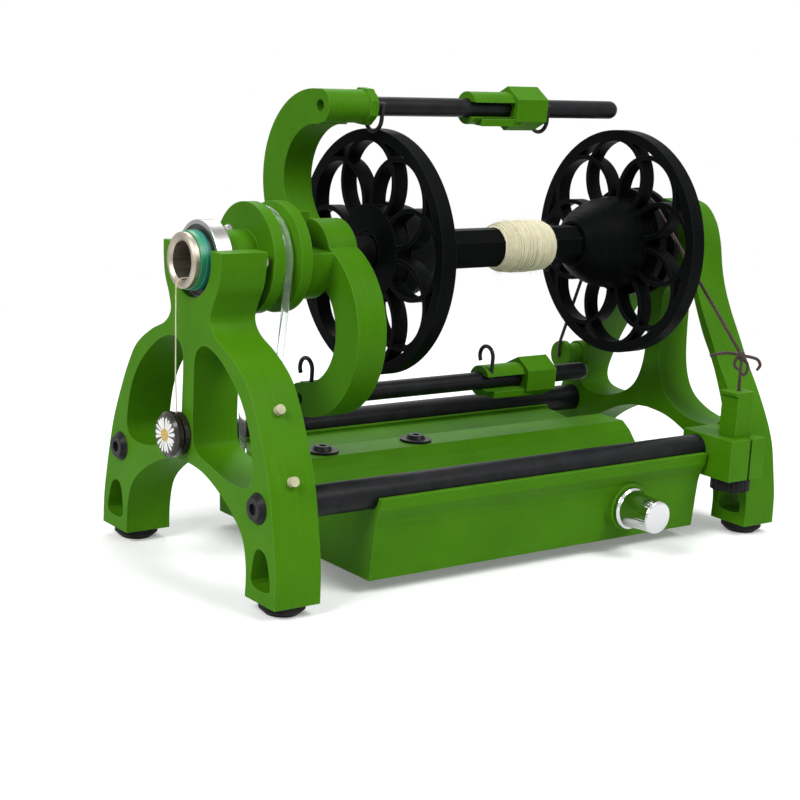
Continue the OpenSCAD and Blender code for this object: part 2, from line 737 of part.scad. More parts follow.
// One crescent arm of the flyer, from the hub out to its rod
module arm_section() {
    outer = (flyer_r + 6.5 + arm_half) / 2;
    inner = (flyer_r - 2 * arm_half) / 2;
    intersection() {
        difference() {
            translate([1.5, outer - arm_half]) circle(outer);
            translate([0, arm_half + inner]) circle(inner);
        }
        translate([0, -2 * arm_half]) square([80, 120]);
    }
    translate([0, flyer_r]) circle(tip_r);
}
module flyer_yoke() {
    placed() color(green) on_flyer() difference() {
        union() {
            along_x(yoke_x, yoke_t) {
                arm_section();
                rotate(180) arm_section();
                circle(15);
            }
            difference() {
                bar_x(boss_x + fit, boss_l, 18);
                translate([boss_x + 1.5, -30, 4]) cube([boss_l, 32, 30]);
            }
        }
        bar_x(boss_x - 1, boss_l - 3.5, bore_r);
        translate([boss_x + 7, 0, 4]) rotate([-90, 0, 0]) cylinder(h = 30, r = 5.4);
        bar_x(axle_x0, 40, axle_r + 0.02);
        whorl_screw_places() bar_x(boss_x - 1, 10.2, 1.55);
        for (side = [-1, 1]) {
            bar_x(rod_x0, 40, rod_r + fit, 0, side * flyer_r);
            bar_x(yoke_x - 1, 40, 2.6, 0, side * flyer_r);
        }
        bar_z(hook_x(), hook_leg(), -flyer_r + tip_r - 4, 8, wire_r + fit);
    }
}
module bar_z(x, y, z, len, r) {
    translate([x, y, z]) cylinder(h = len, r = r);
}

module flyer_rod(side) {
    placed() color(dark) on_flyer() {
        bar_x(rod_x0 + seat_gap, rod_x1 - rod_x0 - rod_r, rod_r, 0, side * flyer_r);
        translate([rod_x1 + seat_gap - rod_r, 0, side * flyer_r]) rotate([0, 90, 0])
            rotate_extrude() intersection() {
                circle(rod_r);
                square([rod_r, rod_r]);
            }
    }
}

// Bent wire guides: a closed eye that hangs over the rod and an open hook
eye_r = 5.7;
hook_r = 4.6;
function hook_x() = yoke_x + 2.6;
function hook_leg() = -hook_r;
module wire_arc(x, y, z, r, start, turn) {
    translate([x, y, z]) rotate([90, 0, 90]) rotate([0, 0, start])
        rotate_extrude(angle = turn) translate([r, 0]) circle(wire_r);
}
// The eye leaves the face at x, drops past the rod at height z and comes back up
module eye_wire(x, z) {
    rise = 1.5;
    drop = 4.4;
    wire_arc(x + 2.4, 0, z - drop, eye_r, 180, 180);
    for (side = [-1, 1]) {
        translate([x + 2.4, side * eye_r, z - drop - 0.05])
            cylinder(h = drop + rise + 0.05, r = wire_r - 0.02);
        bar_x(x - 3, 5.4 + wire_r, wire_r, side * eye_r, z + rise);
    }
}
module eye_holes(x, z) {
    for (side = [-1, 1]) bar_x(x - 3.1, 6, wire_r + fit, side * eye_r, z + 1.5);
}
// The hook stands on the surface at height z, towards +Z, and curls to +Y
module hook_wire(x, z) {
    leg = 6;
    translate([x, hook_leg(), z - 3.5]) cylinder(h = leg + 3.55, r = wire_r - 0.02);
    wire_arc(x, 0, z + leg, hook_r, 90, 90);
    wire_arc(x, 0, z + leg, hook_r, -35, 125);
}

module fixed_guide() {
    placed() color(green) on_flyer() difference() {
        union() {
            bar_x(guide_x, guide_l, tip_r, 0, flyer_r);
            translate([guide_x + 6, 0, flyer_r]) rotate([0, 90, 0]) rotate([0, 0, 22.5])
                cylinder(h = guide_l - 6.8, r = 8, $fn = 8);
        }
        bar_x(guide_x - 1, guide_l + 2, rod_r + fit, 0, flyer_r);
        bar_x(bobbin_x - flange_room, guide_l, flange_r + flange_room);
        eye_holes(guide_end, flyer_r);
    }
}
module fixed_wires() {
    placed() color("#2c2c2e") on_flyer() {
        eye_wire(guide_end + 0.1, flyer_r);
        hook_wire(hook_x(), -flyer_r + tip_r);
    }
}

// Spring clip that slides on a rod along X through Y = Z = 0, with its guide towards -Z
module slide_clip() {
    block_len = 17;
    difference() {
        union() {
            bar_x(0, clip_l - block_len + 1, rod_r + 3);
            translate([4, -rod_r - 3, -rod_r - 3]) cube([clip_l - block_len, 2 * rod_r + 6, 3]);
            translate([clip_l - block_len, 0, 0]) rotate([0, 90, 0])
                cylinder(h = block_len, r = rod_r + 5.6, $fn = 6);
        }
        bar_x(-1, clip_l + 2, rod_r + 0.06);
        translate([-1, -20, -rod_r + 0.6]) cube([clip_l - block_len + 1, 20, 2 * rod_r - 1.6]);
    }
}
module slide_clip_top() {
    placed() color(green) on_flyer() difference() {
        translate([clip_top_x, 0, flyer_r]) slide_clip();
        eye_holes(clip_top_x + clip_l, flyer_r);
    }
}
module slide_eye() {
    placed() color("#2c2c2e") on_flyer() eye_wire(clip_top_x + clip_l + 0.1, flyer_r);
}
module slide_clip_bottom() {
    placed() color(green) on_flyer() difference() {
        translate([clip_bottom_x, 0, -flyer_r]) slide_clip();
        bar_z(clip_bottom_x + 3, hook_leg(), -flyer_r + rod_r - 2.5, 8, wire_r + fit);
    }
}
module slide_hook() {
    placed() color("#2c2c2e") on_flyer() hook_wire(clip_bottom_x + 3, -flyer_r + rod_r + 1.2);
}

module axle_shaft() {
    placed() color(steel) bar_x(axle_x0 + seat_gap, axle_x1 - axle_x0 - seat_gap, axle_r, 0, axis_h);
}
module axle_spacers() {
    placed() color("#e6e4dc") {
        turned([[yoke_back + 0.1, axle_r + fit], [yoke_back + 0.1, 7], [bobbin_x - 0.3, 7],
            [bobbin_x - 0.3, axle_r + fit]]);
        turned([[brake_end + 0.3, axle_r + fit], [brake_end + 0.3, 5.6], [rear_x, 5.6],
            [rear_x, axle_r + fit]]);
    }
}
module rear_bearing() {
    r = rear_seat_r;
    x = rear_x + 0.1;
    placed() color(steel) difference() {
        bar_x(x, rear_bearing_w, r, 0, axis_h);
        bar_x(x - 1, rear_bearing_w + 2, axle_r + 0.02, 0, axis_h);
        for (side = [x - eps, x + rear_bearing_w - 0.4 + eps]) difference() {
            bar_x(side, 0.4, r - 1.6, 0, axis_h);
            bar_x(side - 1, 3, axle_r + 1.7, 0, axis_h);
        }
    }
}

// Bobbin
module petal_rings() {
    for (i = [0 : petals - 1]) rotate(i * 360 / petals - 5)
        translate([petal_out - petal_r, 0]) difference() {
            circle(petal_r + petal_w / 2);
            circle(petal_r - petal_w / 2);
        }
}
module flange_section() {
    difference() {
        circle(flange_r);
        circle(flange_r - rim_w);
    }
    petal_rings();
    circle(dome_r - 1);
}
// The dome swells from the flange and closes on the core, as [x, radius]
function dome() = let (last = acos((core_r + 1.4) / dome_r))
    [for (i = [0 : 8]) let (a = last * i / 8) [hub_l * sin(a), dome_r * cos(a)]];
module flange() {
    points = dome();
    difference() {
        union() {
            along_x(0, flange_t) flange_section();
            translate([flange_t - eps, 0, 0]) rotate([90, 0, 90]) rotate_extrude()
                polygon(concat([[0, 0]], [for (p = points) [p[1], p[0]]], [[0, points[8][0]]]));
        }
        bar_x(-1, 80, core_r + fit);
    }
}
module bobbin_flange_front() {
    placed() color(dark) translate([bobbin_x, 0, axis_h]) flange();
}
// The rear flange carries the brake pulley on its outer side
module bobbin_flange_rear() {
    placed() color(dark) {
        translate([bobbin_end, 0, axis_h]) mirror([1, 0, 0]) flange();
        turned(concat([[bobbin_end - 1, core_r + fit], [bobbin_end - 1, brake_rim_r]],
            groove(brake_x, brake_w / 2, brake_rim_r, brake_groove_r, 3),
            [[brake_end, core_r + fit]]));
    }
}
module bobbin_core() {
    placed() color(dark) translate([0, 0, axis_h]) difference() {
        union() {
            bar_x(bobbin_x + 0.2, brake_end - bobbin_x - 0.4, core_r * cos(22.5) - 0.05);
            translate([bobbin_x + 0.2, 0, 0]) rotate([0, 90, 0]) rotate([0, 0, 22.5])
                cylinder(h = brake_end - bobbin_x - 0.4, r = core_r, $fn = 8);
        }
        bar_x(bobbin_x - 1, brake_end - bobbin_x + 2, bush_r + fit);
    }
}
module bobbin_bushes() {
    length = 10;
    placed() color("#b08d4a") for (x = [bobbin_x + 0.2, brake_end - 0.2 - length])
        turned([[x, axle_r + 0.06], [x, bush_r], [x + length, bush_r], [x + length, axle_r + 0.06]]);
}

// Yarn: a plain swollen core and one unbroken outer layer of turns
function wind_radius(u) = wind_r + wind_bulge * (1 - pow(2 * u - 1, 2));
module yarn_core() {
    steps = 12;
    placed() color("#efe9d8") difference() {
        turned(concat([[wind_x0, 0]],
            [for (i = [0 : steps]) [wind_x0 + winding_l * i / steps, wind_radius(i / steps)]],
            [[wind_x0 + winding_l, 0]]));
        translate([wind_x0 - 1, 0, axis_h]) rotate([0, 90, 0]) rotate([0, 0, 22.5])
            cylinder(h = winding_l + 2, r = core_r + fit, $fn = 8);
    }
}
turn_steps = 24;
wind_in = 1.2;
function wind_point(i) = let (u = i / (loops * turn_steps), a = 360 * i / turn_steps,
    r = wind_radius((wind_in + u * (winding_l - 2 * wind_in)) / winding_l) + yarn_d / 2 + 0.12)
    [wind_x0 + wind_in + u * (winding_l - 2 * wind_in), r * cos(a), axis_h + r * sin(a)];
function wind_path() = let (n = loops * turn_steps, a = wind_point(0), b = wind_point(n),
    ta = unit(wind_point(1) - a), tb = unit(b - wind_point(n - 1)))
    concat([a - ta * yarn_d], [for (i = [0 : n]) wind_point(i)], [b + tb * yarn_d]);
// The axle direction keeps the six sides of the winding from twisting
module yarn_winding() {
    placed() color("#f3eedf") tube(wind_path(), yarn_d / 2, 6, [1, 0, 0]);
    n = loops * turn_steps;
    echo(str("least gap of the winding to itself ",
        min([for (i = [0 : 6 : n - turn_steps - 2], j = [-2 : 2])
            norm(wind_point(i) - wind_point(i + turn_steps + j))]) - yarn_d, " mm"));
}

function unit(v) = v / norm(v);
function heading(p, i) = unit(p[min(i + 1, len(p) - 1)] - p[max(i - 1, 0)]);
// A closed tube of n sides along the points p, its rings turned square to the path
module tube(p, r, n, up) {
    m = len(p);
    points = [for (i = [0 : m - 1]) let (t = heading(p, i), u = unit(cross(t, up)),
        v = cross(t, u)) for (k = [0 : n - 1])
            p[i] + r * (cos(360 * k / n) * u + sin(360 * k / n) * v)];
    sides = [for (i = [0 : m - 2], k = [0 : n - 1]) let (a = i * n + k, b = i * n + (k + 1) % n)
        each [[a, b, b + n], [a, b + n, a + n]]];
    ends = [for (k = [1 : n - 2]) each [[0, k + 1, k],
        [(m - 1) * n, (m - 1) * n + k, (m - 1) * n + k + 1]]];
    polyhedron(points, concat(sides, ends));
}

// Brake: a cord over the bobbin's pulley, an anchor on the left and a tension post on the right
module brake_clamp() {
    z = block_z;
    placed() color(green) difference() {
        translate([block_x0, -block_out, z]) cube([block_l - 0.1, block_out - block_in, block_h]);
        bar_x(block_x0 - 1, block_l + 2, base_rod_r + fit, -base_rod_y, base_rod_z);
        translate([post_x - post_side / 2 - 0.12, -post_y - post_side / 2 - 0.12, post_z0 - 2.2])
            cube([post_side + 0.24, post_side + 0.24, block_h]);
        translate([post_x, -post_y, z - 1]) cylinder(h = 10, r = thread_r + 0.15);
        translate([post_x + 1, -block_out - 1, z - 1]) cube([1.6, 6, block_h + 2]);
    }
}
module brake_post() {
    s = post_side;
    placed() color(green) difference() {
        union() {
            translate([post_x - s / 2, -post_y - s / 2, post_z0]) cube([s, s, post_top - post_z0]);
            translate([post_x - s / 2 - 1.6, -post_y - s / 2, post_top - 1.6])
                cube([s + 1.6, s, 1.6]);
        }
        translate([post_x, -post_y, post_z0 - 1])
            cylinder(h = thread_top + 8 - post_z0, r = thread_r + 0.06);
        translate([post_x, -post_y, post_top - 14]) cylinder(h = 15, r = cord_r + 0.5, $fn = 32);
    }
}
module brake_thumbwheel() {
    notches = 24;
    placed() color("#202022") translate([post_x, -post_y, 0]) {
        difference() {
            translate([0, 0, thumb_z]) cylinder(h = thumb_t, r = thumb_d / 2);
            for (i = [0 : notches - 1]) rotate([0, 0, i * 360 / notches])
                translate([thumb_d / 2 + 0.25, 0, thumb_z - 1]) cylinder(h = thumb_t + 2, r = 0.7, $fn = 16);
        }
        translate([0, 0, thumb_z + thumb_t - eps])
            cylinder(h = thread_top - thumb_z - thumb_t, r = thread_r);
    }
}
module brake_anchor() {
    placed() color("#3f7d22") difference() {
        union() {
            bar_x(rear_x - anchor_l, anchor_l - 0.1, 5.2, anchor_y, anchor_z);
            bar_x(rear_x - anchor_l, 3, 7, anchor_y, anchor_z);
            bar_x(rear_x - 4, 3.9, 6.4, anchor_y, anchor_z);
            bar_x(rear_x - 1, 8, 2, anchor_y, anchor_z);
        }
        translate([brake_x + 3, anchor_y, anchor_z]) cylinder(h = 9, r = cord_r + 0.2, $fn = 32);
    }
}

// The brake cord leaves the anchor, wraps the groove and comes down to the post
function tangent_y(y, z, side) = let (d = norm([y, z]), a = atan2(z, y),
    b = acos(cord_ring / d)) a + side * b;
module brake_cord() {
    ax = anchor_z + 3 - axis_h;
    left = tangent_y(anchor_y, ax, 1);
    right = tangent_y(-post_y, post_top + knot_up - axis_h, -1);
    turn = right + 360 - left;
    arc = [for (i = [0 : 16]) let (a = left + turn * i / 16)
        [brake_x, cord_ring * cos(a), axis_h + cord_ring * sin(a)]];
    placed() color("#4a2f24") tube(concat([[brake_x + 3, anchor_y, anchor_z - 1],
        [brake_x + 3, anchor_y, anchor_z + 6]], arc,
        [[post_x, -post_y, post_top + knot_up], [post_x, -post_y, post_top + 3],
            [post_x, -post_y, post_top - 6]]), cord_r, 8, [1, 0, 0]);
}

// The spun end comes out over the lip of the orifice and down to the magnet button
yarn_route = [[8, 0, -7.2], [2, 0, -7.2], [-2.3, 0, -7.1], [-4.9, 0, -7.4], [-6.2, 0, -8.8],
    [-6.6, 0, -12], [-5.6, 1, -30], [-4.3, 2.4, -48], [-3.3, 3.2, -58], [-3.075, 3.4, -63],
    [-3.075, 3.6, -67.4]];
module yarn_end() {
    placed() color("#f3eedf") tube([for (p = yarn_route) p + [0, 0, axis_h]], 0.3, 8, [0, 1, 0]);
}

front_upright();
rear_upright();
base_rod(1);  // base_rod_left
base_rod(-1);  // base_rod_right
rod_end_screws();
rubber_foot(front_t / 2, 1);  // rubber_foot_front_left
rubber_foot(front_t / 2, -1);  // rubber_foot_front_right
rubber_foot(rear_x + rear_t / 2, 1);  // rubber_foot_rear_left
rubber_foot(rear_x + rear_t / 2, -1);  // rubber_foot_rear_right
leg_pins();
magnet_button_base();
magnet_button_cap();
button_daisy();
housing_front();
housing_rear();
bottom_cover();
bottom_cover_screws();
housing_top_screws();
motor_body();
motor_clamp();
motor_screws();
motor_shaft();
motor_pulley();
control_board();
board_bracket();
speed_potentiometer();
potentiometer_shaft();
speed_knob();
power_jack();
front_bearing_outer();
front_bearing_inner();
orifice_tube();
orifice_collar();
whorl_pulley();
whorl_screws();
flyer_yoke();
flyer_rod(1);  // flyer_rod_top
flyer_rod(-1);  // flyer_rod_bottom
fixed_guide();
fixed_wires();
slide_clip_top();
slide_eye();
slide_clip_bottom();
slide_hook();
axle_shaft();
axle_spacers();
rear_bearing();
bobbin_flange_front();
bobbin_flange_rear();
bobbin_core();
bobbin_bushes();
yarn_core();
yarn_winding();
drive_belt();
brake_clamp();
brake_post();
brake_thumbwheel();
brake_anchor();
brake_cord();
yarn_end();
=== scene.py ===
import bpy, bmesh, math, random
from mathutils import Matrix, Vector


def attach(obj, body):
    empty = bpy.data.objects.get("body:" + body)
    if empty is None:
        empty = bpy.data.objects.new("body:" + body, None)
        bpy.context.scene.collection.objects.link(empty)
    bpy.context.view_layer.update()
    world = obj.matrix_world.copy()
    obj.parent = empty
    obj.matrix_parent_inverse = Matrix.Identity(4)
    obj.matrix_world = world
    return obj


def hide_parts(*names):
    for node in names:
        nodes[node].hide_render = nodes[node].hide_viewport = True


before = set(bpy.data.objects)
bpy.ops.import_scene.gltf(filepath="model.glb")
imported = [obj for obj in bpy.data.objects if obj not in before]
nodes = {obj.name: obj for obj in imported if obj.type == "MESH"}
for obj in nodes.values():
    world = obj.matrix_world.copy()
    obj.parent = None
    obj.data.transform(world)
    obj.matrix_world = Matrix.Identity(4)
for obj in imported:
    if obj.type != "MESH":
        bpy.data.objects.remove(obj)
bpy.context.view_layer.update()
print("stage: frame loaded")

# Stations along the spin axis are counted in millimetres from the front face of the
# front upright, and the origin of the frame is the middle of the footprint
middle = (0.1363, -0.0056)  # metres
axisUp = 130.0  # height of the spin axis
fullTurn = 2 * math.pi
mm = 0.001


def at(x, y, z):  # a station in millimetres as a point in metres
    return Vector((x / 1000 - middle[0], y / 1000 - middle[1], z / 1000))


def roundAxis(x, radius, angle):  # a point on a ring round the spin axis
    return at(x, radius * math.cos(angle), axisUp + radius * math.sin(angle))


# Camera: place in millimetres, angles in degrees
cameraSettings = {
    "place": (-363.6, -618.4, 230.0),
    "yaw": 37.28,
    "pitch": 12.04,
    "roll": -3.11,
    "lens": 81.7,
}


def makeCamera(s):
    yaw, pitch, roll = (math.radians(s[k]) for k in ("yaw", "pitch", "roll"))
    level = math.cos(pitch)
    forward = Vector((math.sin(yaw) * level, math.cos(yaw) * level, -math.sin(pitch)))
    right = forward.cross(Vector((0, 0, 1))).normalized()
    up = right.cross(forward)
    turn = Matrix.Rotation(roll, 3, forward)
    pose = Matrix((turn @ right, turn @ up, -forward)).transposed().to_4x4()
    pose.translation = at(*s["place"])
    data = bpy.data.cameras.new("camera")
    data.lens, data.sensor_width = s["lens"], 36
    data.clip_start, data.clip_end = 0.01, 20
    camera = bpy.data.objects.new("camera", data)
    bpy.context.scene.collection.objects.link(camera)
    camera.matrix_world = pose
    bpy.context.scene.camera = camera


makeCamera(cameraSettings)
finishes = {}


# Material nodes: in a keyword, an underscore stands for a space and i0 for the first input
class Graph:
    def __init__(self, name):
        self.name = name
        self.material = bpy.data.materials.new(name)
        self.material.use_nodes = True
        self.tree = self.material.node_tree
        self.tree.nodes.clear()
        self.out = self.tree.nodes.new("ShaderNodeOutputMaterial")
        self.coord = None

    def put(self, kind, out=0, settings=None, **inputs):
        node = self.tree.nodes.new("ShaderNode" + kind)
        for key, value in (settings or {}).items():
            setattr(node, key, value)
        for key, value in inputs.items():
            numbered = key[0] == "i" and key[1:].isdigit()
            socket = node.inputs[int(key[1:]) if numbered else key.replace("_", " ")]
            self.join(value, socket)
        return node.outputs[out]

    def join(self, value, socket):
        if isinstance(value, bpy.types.NodeSocket):
            self.tree.links.new(value, socket)
        elif hasattr(value, "__len__") and len(value) == 3 and socket.type == "RGBA":
            socket.default_value = (*value, 1)
        else:
            socket.default_value = value

    def place(self):
        if self.coord is None:
            self.coord = self.put("TexCoord", out="Object")
        return self.coord

    def axis(self, name):
        return self.put("SeparateXYZ", out=name, Vector=self.place())

    def alongAndRound(self):  # the two directions of a swept tube
        split = self.put("SeparateXYZ", Vector=self.put("TexCoord", out="UV")).node
        return split.outputs["X"], split.outputs["Y"]

    def sum(self, kind, a, b=0.0, c=0.0):
        return self.put("Math", settings={"operation": kind}, i0=a, i1=b, i2=c)

    def noise(self, scale, detail=3.0, rough=0.5, vector=None):
        vector = vector or self.place()
        return self.put("TexNoise", Vector=vector, Scale=scale, Detail=detail, Roughness=rough)

    def ramp(self, value, low, high, to0=0.0, to1=1.0):
        return self.put("MapRange", i0=value, i1=low, i2=high, i3=to0, i4=to1)

    def mix(self, t, a, b):
        node = self.tree.nodes.new("ShaderNodeMix")
        node.data_type = "RGBA"
        self.join(t, node.inputs[0])
        self.join(a, node.inputs[6])
        self.join(b, node.inputs[7])
        return node.outputs[2]

    def roundEdge(self, radius, samples=4):
        return self.put("Bevel", settings={"samples": samples}, Radius=radius * mm)

    def relief(self, height, strength, depth, edge=None):
        under = {"Normal": edge} if edge else {}
        return self.put("Bump", Strength=strength, Distance=depth * mm, Height=height, **under)

    def finish(self, **inputs):
        shader = self.put("BsdfPrincipled", **inputs)
        self.tree.links.new(shader, self.out.inputs["Surface"])
        finishes[self.name] = self.material
        return self.material


# Layered print: fine lines square to the build axis, streaks, mottling, and a painted highlight lightening
# every edge
printGrain = {
    "layer": 0.3, "wobble": 90.0, "cloud": 34.0, "grain": 2600.0, "streakScale": (60, 900), "round": 0.5,
}
greenPrint = {
    **printGrain,
    "low": (0.041, 0.152, 0.0016), "high": (0.052, 0.18, 0.0028),
    "streakTone": (0.068, 0.205, 0.009), "edgeHighlightTone": (0.15, 0.34, 0.06),
    "streak": 0.3, "edge": 0.75, "rough": 0.4, "spec": 0.05, "layerDepth": 0.9, "bump": 0.3,
}
blackPrint = {
    **printGrain,
    "low": (0.0014, 0.0017, 0.0018), "high": (0.0028, 0.0032, 0.0034),
    "streakTone": (0.005, 0.0055, 0.006), "edgeHighlightTone": (0.035, 0.037, 0.04),
    "streak": 0.35, "edge": 0.5, "rough": 0.36, "spec": 0.02, "layerDepth": 1.0, "bump": 0.4,
}


def printedPlastic(name, s, buildAxis):
    g = Graph(name)
    wobble = g.sum("MULTIPLY", g.noise(s["wobble"], 2.0), 1.6)
    line = g.sum("MULTIPLY_ADD", g.axis(buildAxis), 2000 * math.pi / s["layer"], wobble)
    ridge = g.sum("MULTIPLY_ADD", g.sum("SINE", line), 0.5, 0.5)
    wide, fine = s["streakScale"]
    stretch = [fine if letter == buildAxis else wide for letter in "XYZ"]
    streak = g.noise(1.0, 4.0, 0.65, g.put("Mapping", Vector=g.place(), Scale=stretch))
    cloud = g.noise(s["cloud"], 5.0, 0.6)
    grain = g.noise(s["grain"], 2.0)
    edge = g.roundEdge(s["round"], 6)
    flat = g.put("NewGeometry", out="True Normal")
    facing = g.put("VectorMath", out="Value", settings={"operation": "DOT_PRODUCT"}, i0=edge, i1=flat)
    # Painted highlight: where the rounded normal turns from the true one, the colour is lightened towards
    # the edge highlight tone
    paintedEdgeHighlight = g.ramp(facing, 0.985, 0.80)
    tone = g.mix(g.ramp(cloud, 0.3, 0.7), s["low"], s["high"])
    tone = g.mix(g.sum("MULTIPLY", g.ramp(streak, 0.42, 0.66), s["streak"]), tone, s["streakTone"])
    tone = g.mix(g.sum("MULTIPLY", paintedEdgeHighlight, s["edge"]), tone, s["edgeHighlightTone"])
    rough = g.sum("MULTIPLY_ADD", g.ramp(streak, 0.3, 0.7), 0.14, s["rough"])
    height = g.sum("MULTIPLY_ADD", grain, 0.25, g.sum("MULTIPLY", streak, 0.5))
    height = g.sum("MULTIPLY_ADD", ridge, s["layerDepth"], height)
    normal = g.relief(height, s["bump"], 0.06, edge)
    g.finish(Base_Color=tone, Roughness=rough, Normal=normal, Specular_IOR_Level=s["spec"])


for buildAxis in "XZ":
    printedPlastic("green_print_" + buildAxis.lower(), greenPrint, buildAxis)
    printedPlastic("black_print_" + buildAxis.lower(), blackPrint, buildAxis)

# Turned or drawn metal: fine scratches, soft smudges, rounded edges
metalGrain = {"scratch": (60, 1400, 1400), "bump": 0.15, "metallic": 1.0, "spec": 0.5}
metalTones = {
    "machined_steel": {"low": (0.5, 0.5, 0.51), "high": (0.72, 0.72, 0.73), "rough": 0.2},
    "screw_steel": {"low": (0.26, 0.255, 0.24), "high": (0.48, 0.47, 0.44), "rough": 0.28},
    "orifice_steel": {"low": (0.3, 0.265, 0.21), "high": (0.44, 0.4, 0.33), "rough": 0.36},
    "motor_can": {"low": (0.3, 0.31, 0.33), "high": (0.46, 0.47, 0.5), "rough": 0.3},
    "bronze": {"low": (0.3, 0.17, 0.05), "high": (0.48, 0.3, 0.1), "rough": 0.4},
    "black_oxide": {
        "low": (0.008, 0.008, 0.009), "high": (0.022, 0.022, 0.024), "rough": 0.34,
        "metallic": 0.3, "spec": 0.12,
    },
    "black_wire": {
        "low": (0.01, 0.01, 0.011), "high": (0.03, 0.03, 0.032), "rough": 0.3,
        "metallic": 0.3, "spec": 0.15,
    },
    "black_rod": {
        "low": (0.006, 0.0065, 0.007), "high": (0.013, 0.0135, 0.015), "rough": 0.28,
        "metallic": 0.0, "spec": 0.1, "scratch": (30, 1800, 1800), "bump": 0.25,
    },
}


def drawnMetal(name, s):
    g = Graph(name)
    scratch = g.noise(1.0, 5.0, 0.7, g.put("Mapping", Vector=g.place(), Scale=s["scratch"]))
    smudge = g.noise(120, 4.0, 0.6)
    tone = g.mix(g.ramp(smudge, 0.35, 0.7), s["low"], s["high"])
    rough = g.sum("MULTIPLY_ADD", g.ramp(scratch, 0.3, 0.7), 0.15, s["rough"])
    normal = g.relief(scratch, s["bump"], 0.04, g.roundEdge(0.25, 6))
    g.finish(Base_Color=tone, Roughness=rough, Metallic=s["metallic"], Normal=normal,
             Specular_IOR_Level=s["spec"])


for name, tones in metalTones.items():
    drawnMetal(name, {**metalGrain, **tones})

# Moulded rubber, plastic and resin with fine pitting and soft edges
mouldGrain = {"cloud": 150.0, "pit": 3500.0, "bump": 0.3, "spec": 0.3}
mouldTones = {
    "rubber": {"low": (0.006, 0.006, 0.006), "high": (0.018, 0.018, 0.017), "rough": 0.6, "spec": 0.1},
    "moulded_black": {
        "low": (0.005, 0.005, 0.005), "high": (0.012, 0.012, 0.013), "rough": 0.42, "spec": 0.1,
    },
    "pale_pin": {"low": (0.3, 0.28, 0.15), "high": (0.52, 0.5, 0.32), "rough": 0.3},
    "circuit_board": {"low": (0.006, 0.06, 0.015), "high": (0.01, 0.1, 0.025), "rough": 0.35},
    "potentiometer_case": {"low": (0.03, 0.05, 0.1), "high": (0.05, 0.08, 0.15), "rough": 0.4},
    "spacer_white": {"low": (0.5, 0.49, 0.44), "high": (0.66, 0.65, 0.6), "rough": 0.4},
    "button_resin": {
        "low": (0.014, 0.011, 0.009), "high": (0.03, 0.024, 0.02), "rough": 0.12, "bump": 0.05,
    },
}


def moulded(name, s):
    g = Graph(name)
    cloud = g.noise(s["cloud"], 4.0)
    pit = g.noise(s["pit"], 3.0, 0.7)
    tone = g.mix(g.ramp(cloud, 0.3, 0.7), s["low"], s["high"])
    normal = g.relief(pit, s["bump"], 0.05, g.roundEdge(0.3))
    rough = g.sum("MULTIPLY_ADD", pit, 0.12, s["rough"])
    g.finish(Base_Color=tone, Roughness=rough, Normal=normal, Specular_IOR_Level=s["spec"])


for name, tones in mouldTones.items():
    moulded(name, {**mouldGrain, **tones})


def radiusFromAxis(g):  # in metres
    y = g.sum("ADD", g.axis("Y"), middle[1])
    z = g.sum("SUBTRACT", g.axis("Z"), axisUp * mm)
    return g.sum("SQRT", g.sum("MULTIPLY_ADD", y, y, g.sum("MULTIPLY", z, z)))


# Front bearing: ground steel ring outside the seal radius, black seal inside it
bearingSettings = {
    "sealRadius": 14.19, "seal": (0.012, 0.012, 0.012),
    "low": (0.24, 0.235, 0.23), "high": (0.4, 0.395, 0.385),
}


def bearingMaterial(s):
    g = Graph("front_bearing")
    r = radiusFromAxis(g)
    ring = g.sum("GREATER_THAN", r, s["sealRadius"] * mm)
    tone = g.mix(ring, s["seal"], g.mix(g.noise(300, 4.0), s["low"], s["high"]))
    turned = g.sum("SINE", g.sum("MULTIPLY", r, 60000.0))
    normal = g.relief(turned, 0.08, 0.03, g.roundEdge(0.2))
    rough = g.ramp(ring, 0.0, 1.0, 0.45, 0.33)
    g.finish(Base_Color=tone, Metallic=ring, Roughness=rough, Normal=normal)


bearingMaterial(bearingSettings)

# Green printed collar behind the orifice flange, with a teal band behind that which is a painted
# reflection
collarSettings = {
    "split": 0.06,
    "green": ((0.02, 0.2, 0.09), (0.03, 0.28, 0.14)),
    "tealReflection": ((0.012, 0.16, 0.13), (0.02, 0.26, 0.2)),
}


def collarMaterial(s):
    g = Graph("orifice_collar")
    station = g.sum("ADD", g.axis("X"), middle[0])
    behind = g.sum("GREATER_THAN", station, s["split"] * mm)
    cloud = g.noise(200, 4.0)
    # Past the split the collar is painted teal: a painted reflection on the collar
    tone = g.mix(behind, g.mix(cloud, *s["green"]), g.mix(cloud, *s["tealReflection"]))
    ridge = g.sum("SINE", g.sum("MULTIPLY", radiusFromAxis(g), 21000.0))
    normal = g.relief(ridge, 0.2, 0.05, g.roundEdge(0.2))
    g.finish(Base_Color=tone, Roughness=0.38, Normal=normal)


collarMaterial(collarSettings)

# Clear drive belt: mostly seen as pale edges and a few highlights
beltSettings = {
    "low": (0.88, 0.93, 0.88), "high": (0.95, 0.97, 0.95), "rim": (0.3, 0.35, 0.29),
    "rough": 0.09, "clear": 0.93, "bend": 1.18,
}


def beltMaterial(s):
    g = Graph("clear_belt")
    body = g.mix(g.noise(160, 3.0), s["low"], s["high"])
    rim = g.ramp(g.put("LayerWeight", out="Facing", Blend=0.5), 0.35, 0.95)
    tone = g.mix(rim, body, s["rim"])
    g.finish(Base_Color=tone, Roughness=s["rough"], Transmission_Weight=s["clear"], IOR=s["bend"],
             Specular_IOR_Level=0.7)


beltMaterial(beltSettings)

# Polished chrome of the speed knob, with faint smudges
chromeSettings = {"tone": (0.58, 0.59, 0.6), "rough": (0.05, 0.16)}


